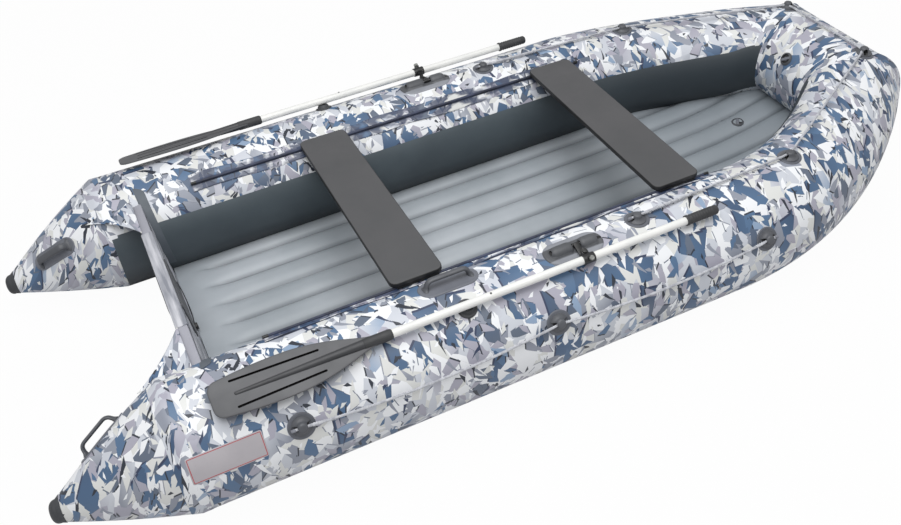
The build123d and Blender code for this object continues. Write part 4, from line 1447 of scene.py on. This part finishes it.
def skinFrame(x, angle, side=1):
    # x forward along the skin and z out of it
    place = tubeFrame([stationAt(x + shift) for shift in (-0.02, 0, 0.02)], angle)
    return Matrix.Scale(-1, 4, (0, 1, 0)) @ place if side < 0 else place


lock = {
    "x": 0.0375, "y": 0.6, "barrelZ": 0.44, "barrelR": 0.0246, "pinZ": 0.45, "foot": (0.215, 0.1),
    "halves": ((-0.052, 0.0305), (0.0595, 0.127)),
    # the open socket as (radius, depth), then the oval foot's rim and the swell under each hump as
    # (in from the rim, height over the skin)
    "mouth": ((0.0095, 0.0), (0.0095, 0.009), (0.0078, 0.012), (0.0071, 0.034)),
    "footRim": ((-0.003, 0.0), (-0.002, 0.0014), (0.002, 0.0034), (0.008, 0.0042)),
    "swell": ((-0.008, 0.003), (-0.004, 0.0042), (0.0, 0.0072), (0.003, 0.011), (0.006, 0.012)),
    "flange": (srgb(136, 139, 146), srgb(124, 127, 134)), "barrel": (srgb(82, 84, 88), srgb(72, 74, 78)),
    # socket is painted shade for the inside of the hole
    "socket": srgb(22, 22, 24),
}


def makeLockRubber():
    # light flange, darker barrel and painted shade in the hole in its end, told apart by their distance
    # from the pin
    material, tree, shader = newMaterial("lockRubber", 0.48)
    coords = surfaceCoords(tree)
    x, y, z = splitVector(tree, coords)
    away = calc(tree, "SUBTRACT", calc(tree, "ABSOLUTE", y), lock["y"])

    def reach(height):
        up = calc(tree, "SUBTRACT", z, height)
        squares = calc(tree, "ADD", calc(tree, "MULTIPLY", away, away), calc(tree, "MULTIPLY", up, up))
        return calc(tree, "SQRT", squares)
    patches = spread(tree, cloud(tree, coords, 10.0, 4.0), 0.35, 0.65)
    flange = mixColour(tree, patches, *lock["flange"])
    barrel = mixColour(tree, patches, *lock["barrel"])
    colour = mixColour(tree, spread(tree, reach(lock["barrelZ"]), 0.0262, 0.03), barrel, flange)
    socketShade = spread(tree, reach(lock["pinZ"]), 0.0088, 0.0095, 1.0, 0.0)
    socketShade = calc(tree, "MULTIPLY", socketShade, spread(tree, x, -0.054, -0.05))
    colour = mixColour(tree, socketShade, colour, lock["socket"])
    plug(tree, colour, shader.inputs["Base Color"])
    bump(tree, shader, cloud(tree, coords, 800, 2.0), 0.2, 0.0003)
    return material


def slotOutline(length, width):
    return roundedOutline(length, width, width / 2.0001, 20)


def makeBarrel(side, name):
    # two thick rubber humps over the pin, the aft one with an open socket in its end
    tip = lock["barrelR"]
    shape = newShape()
    for (start, end), out in zip(lock["halves"], (-1, 1)):
        long = end - start
        stops = [(0.0, 0.0), (0.010, 0.0006), (0.0165, 0.003), (0.021, 0.008), (0.0236, 0.014),
                 (tip, 0.022), (tip, long - 0.014), (tip - 0.001, long - 0.009),
                 (tip - 0.0035, long - 0.004), (tip - 0.0075, long - 0.001), (0.0, long)]
        base = start if out < 0 else end
        place = frameMatrix((base, side * lock["y"], lock["barrelZ"]), (0, 0, 1), (-out, 0, 0))
        addLathe(shape, stops, place, sides=48)
    piece = makePiece("oarlockBarrel." + name, shape, ["lockRubber"], body=None, sharp=50)
    cutter = newShape()
    aftEnd = lock["halves"][0][0]
    mouth = frameMatrix((aftEnd - 0.004, side * lock["y"], lock["pinZ"]), (0, 0, 1), (1, 0, 0))
    addLathe(cutter, lock["mouth"], mouth, sides=32)
    carve(piece, makePiece("mouth." + name, cutter, ["lockRubber"], body=None))
    attach(piece, "hull", ("oarlock_base_" + name,))


def makeOarlock(side, name):
    shape = newShape()
    angle = 90 + math.degrees(math.asin((lock["y"] - tube["offset"]) / tube["radius"]))
    place = skinFrame(lock["x"], angle, side)
    addSkinPad(shape, slotOutline(*lock["foot"]), place, lock["footRim"], rings=10)
    for start, end in lock["halves"]:
        local = place @ Matrix.Translation(((start + end) / 2 - lock["x"], 0, 0))
        addSkinPad(shape, roundedOutline(end - start, 0.05, 0.018), local, lock["swell"], rings=2)
    makePiece("oarlockSkirt." + name, shape, ["lockRubber"],
              replaces=("oarlock_base_" + name,))
    makeBarrel(side, name)
    hardPart("oarlock_pin_" + name, "steel", "hull", bevel=0.0005)
    hardPart("oarlock_yoke_" + name, "blackPlastic", "oarlock_arm_" + name, bevel=0.001)
    hardPart("oar_clamp_" + name, "blackPlastic", "oar_" + name, bevel=0.001)


knob = {
    "turn": math.radians(42), "flutes": 10, "fluteDepth": 0.0013,
    "profile": ((0.003, 0.0175), (0.003, 0.0248), (0.0075, 0.025), (0.0088, 0.0262), (0.009, 0.033),
                (0.0078, 0.0352), (0.0058, 0.036), (0.0052, 0.0353), (0.0, 0.035)),
}


def makeKnob(side, name):
    # on its stem out of the clamp, so its profile is measured from the middle of the shaft
    turn = knob["turn"]
    origin = (oar["lockX"], side * oar["y"], oar["z"])
    place = frameMatrix(origin, (1, 0, 0), (0, side * math.cos(turn), math.sin(turn)))
    shape = newShape()
    addLathe(shape, knob["profile"], place, sides=80, flutes=knob["flutes"],
             fluteDepth=knob["fluteDepth"])
    makePiece("clampKnob." + name, shape, ["smokyPlastic"], body="knob_" + name,
              replaces=("clamp_knob_" + name,), sharp=60)


oarRest = {
    "x": -0.393, "gap": 0.002,
    # (radius, height): the foot measured up from the skin, the cup down from its own top
    "foot": ((0.0335, -0.004), (0.0335, 0.0022), (0.0322, 0.0036), (0.028, 0.004), (0.0255, 0.0048),
             (0.0238, 0.007), (0.0222, 0.012)),
    "cup": ((0.0205, 0.003), (0.0192, 0.0), (0.0172, 0.0), (0.0162, 0.003), (0.0, 0.0034)),
}


def makeOarRest():
    # turned post on a round foot, hollow where the shaft lies
    shape = newShape()
    y, z = oar["y"] - tube["offset"], oar["z"] - tube["radius"]
    place = frameMatrix((oarRest["x"], tube["offset"], tube["radius"]), (1, 0, 0), (0, y, z))
    top = math.hypot(y, z) - oar["shaft"] - oarRest["gap"]
    profile = [(radius, tube["radius"] + lift) for radius, lift in oarRest["foot"]]
    profile += [(radius, top - drop) for radius, drop in oarRest["cup"]]
    addLathe(shape, profile, place, sides=56)
    makePiece("oarRests.finished", bothSides(shape), ["darkRubber"],
              replaces=("oar_rests",), sharp=45)


handles = {
    # place along the boat, angle round the tube, foot's length and width, grip's (across, over)
    "carry": (-0.4, 80.0, 0.212, 0.092, (0.0112, 0.0076)),
    "stern": (-1.562, 46.0, 0.19, 0.07, (0.0135, 0.0062)),
    "rise": 0.034, "inset": 0.03,
    "rim": ((-0.001, -0.001), (0.0, 0.0016), (0.0014, 0.0032), (0.0035, 0.004), (0.006, 0.004),
            (0.0075, 0.0028), (0.012, 0.0026)),
}


def addHandle(shape, x, angle, length, width, bar, side):
    # oval foot with a rim and a grip arched over it
    place = skinFrame(x, angle, side)
    addSkinPad(shape, slotOutline(length, width), place, handles["rim"], rings=8)
    reach = length / 2 - handles["inset"]
    top = handles["rise"] - 0.002
    half = [(-reach - 0.004, 0, 0.0), (-reach + 0.008, 0, top)]
    path = smoothPath(half + [(-x, y, z) for x, y, z in reversed(half)], 0.02)
    sizes = []
    for point in path:
        flare = 1 + 1.1 * max(0.0, 1 - point.z / 0.014) ** 2
        sizes.append((bar[0] * flare, bar[1] * (1 + 0.5 * (flare - 1))))
    across = place.to_3x3() @ Vector((0, 1, 0))
    addRod(shape, [place @ point for point in path], sizes, ink=1, sides=24, firstSide=across)


def makeHandles(kind, sides, node):
    shape = newShape()
    for side in sides:
        addHandle(shape, *handles[kind], side)
    makePiece(kind + ("Handle.finished" if len(sides) == 1 else "Handles.finished"), shape,
              ["greyRubber", "midRubber"], replaces=(node,), sharp=50)


coneCap = {
    # the sleeve over the cone as (ahead of the tip, height), and the dome aft of it
    "sleeve": ((0.014, -0.001), (0.014, 0.0012), (0.0125, 0.0022), (0.0, 0.0022)), "proud": 0.0022,
    "reach": 0.026, "drop": 0.002, "blunt": 0.75, "full": 0.85,
}


def makeConeCaps():
    # moulded end that carries on the cone's taper and closes in a dome
    c = coneCap
    around = evenly(-90, 270, 64)
    rows = []
    for ahead, lift in c["sleeve"]:
        rows.append([onTube(stationAt(tube["tipX"] + ahead), angle, lift) for angle in around])
    end = stationAt(tube["tipX"])
    for turn in evenly(0, math.pi / 2, 12)[1:]:
        size = (tube["tipRadius"] + c["proud"]) * max(0.0008, math.cos(turn)) ** c["blunt"]
        back = c["reach"] * math.sin(turn) ** c["full"]
        middle = end["centre"] - Vector((back, 0, c["drop"] * math.sin(turn)))
        row = []
        for angle in around:
            spot = math.radians(angle)
            row.append(middle + Vector((0, -math.cos(spot), math.sin(spot))) * size)
        rows.append(row)
    shape = newShape()
    addGrid(shape, rows)
    addCap(shape, rows[-1])
    makePiece("coneCaps.finished", bothSides(shape), ["darkRubber"],
              replaces=("cone_caps",), sharp=50)


eyelet = {
    "patch": 0.044, "dome": 0.0172, "round": 0.0095, "high": 0.0252, "rope": 0.013, "hole": 0.0062,
    "skirt": ((0.0340, -0.003), (0.0325, 0.0032), (0.027, 0.0046), (0.0225, 0.0072), (0.0192, 0.0105)),
    "rim": ((-0.0004, -0.001), (0.0, 0.0012), (0.001, 0.0026), (0.004, 0.003), (0.006, 0.0022)),
    "sideAngle": 153.0, "sideX": (-1.005, -0.12, 0.716),
    # each place, the way its rope runs and the way it faces
    "bow": (((0.301, 0.581, 0.44), (1, 0, 0), (0, 0, 1)),
            ((0.978, 0.553, 0.435), (1, -0.15, 0), (-0.04, 0, 1)),
            ((1.604, 0.227, 0.512), (0.4, -0.92, 0), (0.08, 0.04, 1))),
}


def makeEyeletShape():
    # moulded dome with a rope hole along x, on its local floor
    e = eyelet
    shape = newShape()
    profile = [*e["skirt"], (e["dome"], 0.015)]
    inner, level = e["dome"] - e["round"], e["high"] - e["round"]
    for turn in evenly(0, math.pi / 2, 7)[1:]:
        profile.append((inner + e["round"] * math.cos(turn), level + e["round"] * math.sin(turn)))
    profile.append((0.0, e["high"] + 0.0004))
    addLathe(shape, profile, Matrix.Identity(4), sides=48)
    piece = makePiece("eyeletBlank", shape, ["midRubber", "blackPlastic"], body=None, sharp=50)
    cutter = newShape()
    along = frameMatrix((0, 0, e["rope"]), (0, 1, 0), (1, 0, 0))
    bore = [(0.013, -0.03), (0.0092, -0.0165), (0.0068, -0.011), (e["hole"], -0.006)]
    bore += [(r, -x) for r, x in reversed(bore)]
    addLathe(cutter, bore, along, ink=1, sides=32)
    data = carve(piece, makePiece("eyeletCutter", cutter, ["midRubber", "blackPlastic"], body=None))
    bpy.data.objects.remove(piece)
    return data


def eyeletPlaces():
    turn = math.radians(eyelet["sideAngle"])
    r = tube["radius"]
    sides = []
    for x in eyelet["sideX"]:
        origin = (x, tube["offset"] - r * math.cos(turn), r + r * math.sin(turn))
        sides.append(frameMatrix(origin, (1, 0, 0), (0, -math.cos(turn), math.sin(turn))))
    return sides, [frameMatrix(*place) for place in eyelet["bow"]]


def makeEyelets(name, node, places, data):
    # domes on their rubber patches
    shape = newShape()
    for place in places:
        addCopy(shape, data, place)
        addSkinPad(shape, circleOutline(eyelet["patch"], 40), place, eyelet["rim"], ink=2)
    makePiece(name, bothSides(shape), ["midRubber", "blackPlastic", "eyeletRubber"],
              replaces=(node,), sharp=50)


ropes = {
    "radius": 0.0048, "pitch": 0.024, "lift": 0.013, "tail": 0.034, "sagAngle": 159.0, "step": 0.0032,
    "spliceThick": 1.3, "sideSplice": (0.02, 0.05), "bowSplice": (0.022, 0.24),
    "cap": ((0.0052, -0.012), (0.0056, -0.01), (0.0056, 0.0), (0.0048, 0.002), (0.0, 0.0024)),
}


def sideRopePoint(x, angle):
    r = tube["radius"]
    reach, turn = r + ropes["lift"], math.radians(angle)
    return Vector((x, tube["offset"] - reach * math.cos(turn), r + reach * math.sin(turn)))


def sideRopePath():
    # through three eyelets, drooping a little down the tube between them
    xs, tail, level = eyelet["sideX"], ropes["tail"], eyelet["sideAngle"]
    tailSteps = round(tail / ropes["step"])
    points = [sideRopePoint(x, level) for x in evenly(xs[0] - tail, xs[0], tailSteps)]
    for start, end in zip(xs, xs[1:]):
        for s in evenly(0, 1, round((end - start) / ropes["step"]))[1:]:
            droop = 4 * s * (1 - s)
            angle = level + (ropes["sagAngle"] - level) * droop
            points.append(sideRopePoint(start + (end - start) * s, angle))
    points += [sideRopePoint(x, level) for x in evenly(xs[-1], xs[-1] + tail, tailSteps)[1:]]
    return points


def bowRopePath():
    # from the aft eyelet round the bow to its twin
    through = [Vector(place[0]) + Vector((0, 0, ropes["lift"])) for place in eyelet["bow"]]
    port = [through[0] - Vector((ropes["tail"], 0, 0)), *through[1:]]
    corners = port + [mirrored(point) for point in reversed(port)]
    return smoothPath(corners, 0.04, ropes["step"])


def splice(path, start, length):
    # the rope is thicker where each end is worked back into it
    total = sum((b - a).length for a, b in zip(path, path[1:]))

    def thick(distance):
        for away in (distance, total - distance):
            if start < away < start + length:
                inside = min(away - start, start + length - away)
                return 1 + (ropes["spliceThick"] - 1) * ease(inside / 0.02)
        return 1.0
    return thick


def ropeShape(path, afterTail, length):
    # the laid rope with a bound cap on each end
    shape = newShape()
    addRope(shape, path, ropes["radius"], ropes["pitch"], splice(path, ropes["tail"] + afterTail, length))
    for end, ahead in ((path[0], path[4]), (path[-1], path[-5])):
        addLathe(shape, ropes["cap"], frameMatrix(end, (0, 0.3, 1), end - ahead), ink=1, sides=20)
    return shape


def makeRopes():
    sides = bothSides(ropeShape(sideRopePath(), *ropes["sideSplice"]))
    makePiece("sideRopes.finished", sides, ["ropeFibre", "ropeShade"],
              replaces=("side_lifelines",), sharp=70)
    bow = ropeShape(bowRopePath(), *ropes["bowSplice"])
    makePiece("bowRope.finished", bow, ["ropeFibre", "ropeShade"], replaces=("bow_lifeline",),
              sharp=70)


plateSettings = {
    "x": (-1.352, -1.12), "angles": (143.0, 166.0), "corner": 0.007, "inset": 0.0036, "border": 0.0025,
    "rim": ((0, -0.001), (0, 0.0012), (0.0006, 0.0018), (0.002, 0.0018)),
}


def makeBadgePlates():
    # bare grey plates with a thin red line round the rim
    p = plateSettings
    middle = skinFrame(sum(p["x"]) / 2, sum(p["angles"]) / 2)
    tall = math.radians(p["angles"][1] - p["angles"][0]) * tube["radius"]
    outline = []
    coarse = roundedOutline(p["x"][1] - p["x"][0], tall, p["corner"], 6)
    for a, b in zip(coarse, [*coarse[1:], coarse[0]]):
        # points every centimetre, so that the long sides bend with the tube
        a, b = Vector(a), Vector(b)
        count = max(1, round((b - a).length / 0.01))
        outline += [tuple(a.lerp(b, k / count)) for k in range(count)]
    shape = newShape()
    addSkinPad(shape, outline, middle, p["rim"], rings=12)
    near, far = p["inset"], p["inset"] + p["border"]
    line = [(near - 0.0001, 0.0016), (near, 0.002), (far, 0.002), (far + 0.0001, 0.0016)]
    addGrid(shape, [skinRing(shrink(outline, inset), middle, lift) for inset, lift in line], 1)
    makePiece("badgePlates.finished", bothSides(shape), ["plateGrey", "redLine"],
              replaces=("badge_plates",), sharp=50)


valve = {
    "collar": ((0.0272, -0.004), (0.0272, 0.002), (0.0262, 0.0034), (0.0245, 0.0036), (0.0238, 0.0052),
               (0.0222, 0.0074), (0.0206, 0.0078), (0.0198, 0.0068), (0.0196, 0.0022)),
    "ribs": 32, "ribDepth": 0.0005, "well": ((0.0198, 0.002), (0.0198, 0.0024)),
    "hub": ((0.0082, 0.002), (0.0082, 0.005), (0.007, 0.0058)), "bar": (0.0395, 0.0115, 0.003),
    "barLevels": (0.002, 0.0076, 0.0016), "bowAngle": 32, "bowTurn": 40,
    "floorPlace": ((1.262, 0.048, 0.138), (1, 0, 0.1), (-0.12, 0, 1)), "floorTurn": 55,
}


def makeValveShape():
    # a collar with a ribbed lip, a black disc in its well as painted shade, and a bar across the well
    v = valve
    shape = newShape()
    level = Matrix.Identity(4)
    addLathe(shape, v["collar"], level, ink=1, sides=96, flutes=v["ribs"], fluteDepth=v["ribDepth"])
    addLathe(shape, v["well"], level, ink=2, sides=48)
    addLathe(shape, v["hub"], level, sides=32)
    addPlate(shape, roundedOutline(*v["bar"], 5), level, *v["barLevels"])
    return shape


def placeValve(name, node, place, turn):
    shape = makeValveShape()
    spin = place @ Matrix.Rotation(math.radians(turn), 4, "Z")
    shape["points"] = [spin @ point for point in shape["points"]]
    makePiece(name, shape, ["greyRubber", "midRubber", "blackPlastic"],
              replaces=(node,), sharp=40)


inks["lockRubber"] = makeLockRubber()
for side, name in ((1, "port"), (-1, "starboard")):
    makeOar(side, name)
    makeOarlock(side, name)
    makeKnob(side, name)
print("oars built")
makeOarRest()
makeHandles("carry", (-1,), "carry_handle")
makeHandles("stern", (1, -1), "stern_handles")
makeConeCaps()
sidePlaces, bowPlaces = eyeletPlaces()
blank = makeEyeletShape()
makeEyelets("sideEyelets.finished", "side_eyelets", sidePlaces, blank)
makeEyelets("bowEyelets.finished", "bow_eyelets", bowPlaces, blank)
makeRopes()
makeBadgePlates()
noseFrame = tubeFrame([stationAtNose(y) for y in (0.02, 0, -0.02)], valve["bowAngle"])
placeValve("bowValve.finished", "bow_valve", noseFrame, valve["bowTurn"])
placeValve("floorValve.finished", "floor_valve", frameMatrix(*valve["floorPlace"]), valve["floorTurn"])
hardPart("tow_patch", "greyRubber", "hull", bevel=0.0008)
hardPart("tow_ring", "steel", "hull", bevel=0.0003)
print("rigging built")


# floor, lights and camera
stageSettings = {
    "floorColour": (0.62, 0.62, 0.63, 1), "floorHalf": 30, "whiteness": 0.97, "skyLevel": 0.55,
    "keyPower": 190.0, "keySize": 5.0, "keyPlace": (-0.5, -0.9, 4.5), "keyTarget": (0, 0, 0.2),
}


def makeFloorPaper():
    # seen straight on, the floor is mostly a white backdrop that keeps a faint shadow
    material, tree, shader = newMaterial("studioFloor", 0.9)
    shader.inputs["Base Color"].default_value = stageSettings["floorColour"]
    paper = tree.nodes.new("ShaderNodeEmission")
    seen = tree.nodes.new("ShaderNodeLightPath").outputs["Is Camera Ray"]
    either = tree.nodes.new("ShaderNodeMixShader")
    plug(tree, calc(tree, "MULTIPLY", seen, stageSettings["whiteness"]), either.inputs[0])
    plug(tree, shader.outputs[0], either.inputs[1])
    plug(tree, paper.outputs[0], either.inputs[2])
    plug(tree, either.outputs[0], tree.nodes["Material Output"].inputs[0])
    return material


def makeGround():
    size = stageSettings["floorHalf"]
    shape = newShape()
    addGrid(shape, [[Vector((x, y, 0)) for x in (-size, size)] for y in (size, -size)])
    ground = makePiece("studioFloor", shape, ["studioFloor"], body=None, outward=False)
    ground.location.z = cadBox[0].z - 0.001


def makeSky():
    # soft light all round that looks plain white to the camera
    world = bpy.data.worlds.new("studio")
    bpy.context.scene.world = world
    world.use_nodes = True
    tree = world.node_tree
    sky = tree.nodes["Background"]
    white = tree.nodes.new("ShaderNodeBackground")
    for backdrop, level in ((sky, stageSettings["skyLevel"]), (white, 1.0)):
        backdrop.inputs["Color"].default_value = (1, 1, 1, 1)
        backdrop.inputs["Strength"].default_value = level
    seen = tree.nodes.new("ShaderNodeLightPath").outputs["Is Camera Ray"]
    either = tree.nodes.new("ShaderNodeMixShader")
    for value, socket in zip((seen, sky.outputs[0], white.outputs[0]), either.inputs):
        plug(tree, value, socket)
    plug(tree, either.outputs[0], tree.nodes["World Output"].inputs[0])


def makeKeyLamp():
    s = stageSettings
    data = bpy.data.lights.new("keyLamp", "AREA")
    data.shape = "DISK"
    data.size = s["keySize"]
    data.energy = s["keyPower"]
    lamp = bpy.data.objects.new("keyLamp", data)
    lamp.location = s["keyPlace"]
    aim = Vector(s["keyTarget"]) - Vector(s["keyPlace"])
    lamp.rotation_euler = aim.to_track_quat("-Z", "Y").to_euler()
    bpy.context.scene.collection.objects.link(lamp)


cameraSettings = {
    "lens": 38.607, "sensor": 36, "place": (-1.2539, -2.6724, 2.5854),
    "right": (0.90041, -0.43025, -0.06436), "up": (0.33203, 0.58407, 0.74068),
    "back": (-0.28109, -0.68829, 0.66877),
}


def makeCamera():
    c = cameraSettings
    data = bpy.data.cameras.new("camera")
    data.lens = c["lens"]
    data.sensor_width = c["sensor"]
    camera = bpy.data.objects.new("camera", data)
    turn = Matrix((c["right"], c["up"], c["back"])).transposed().to_4x4()
    camera.matrix_world = Matrix.Translation(c["place"]) @ turn
    bpy.context.scene.collection.objects.link(camera)
    bpy.context.scene.camera = camera


inks["studioFloor"] = makeFloorPaper()
makeGround()
makeSky()
makeKeyLamp()
makeCamera()
bpy.context.scene.view_settings.view_transform = "Standard"
print("stage lit")
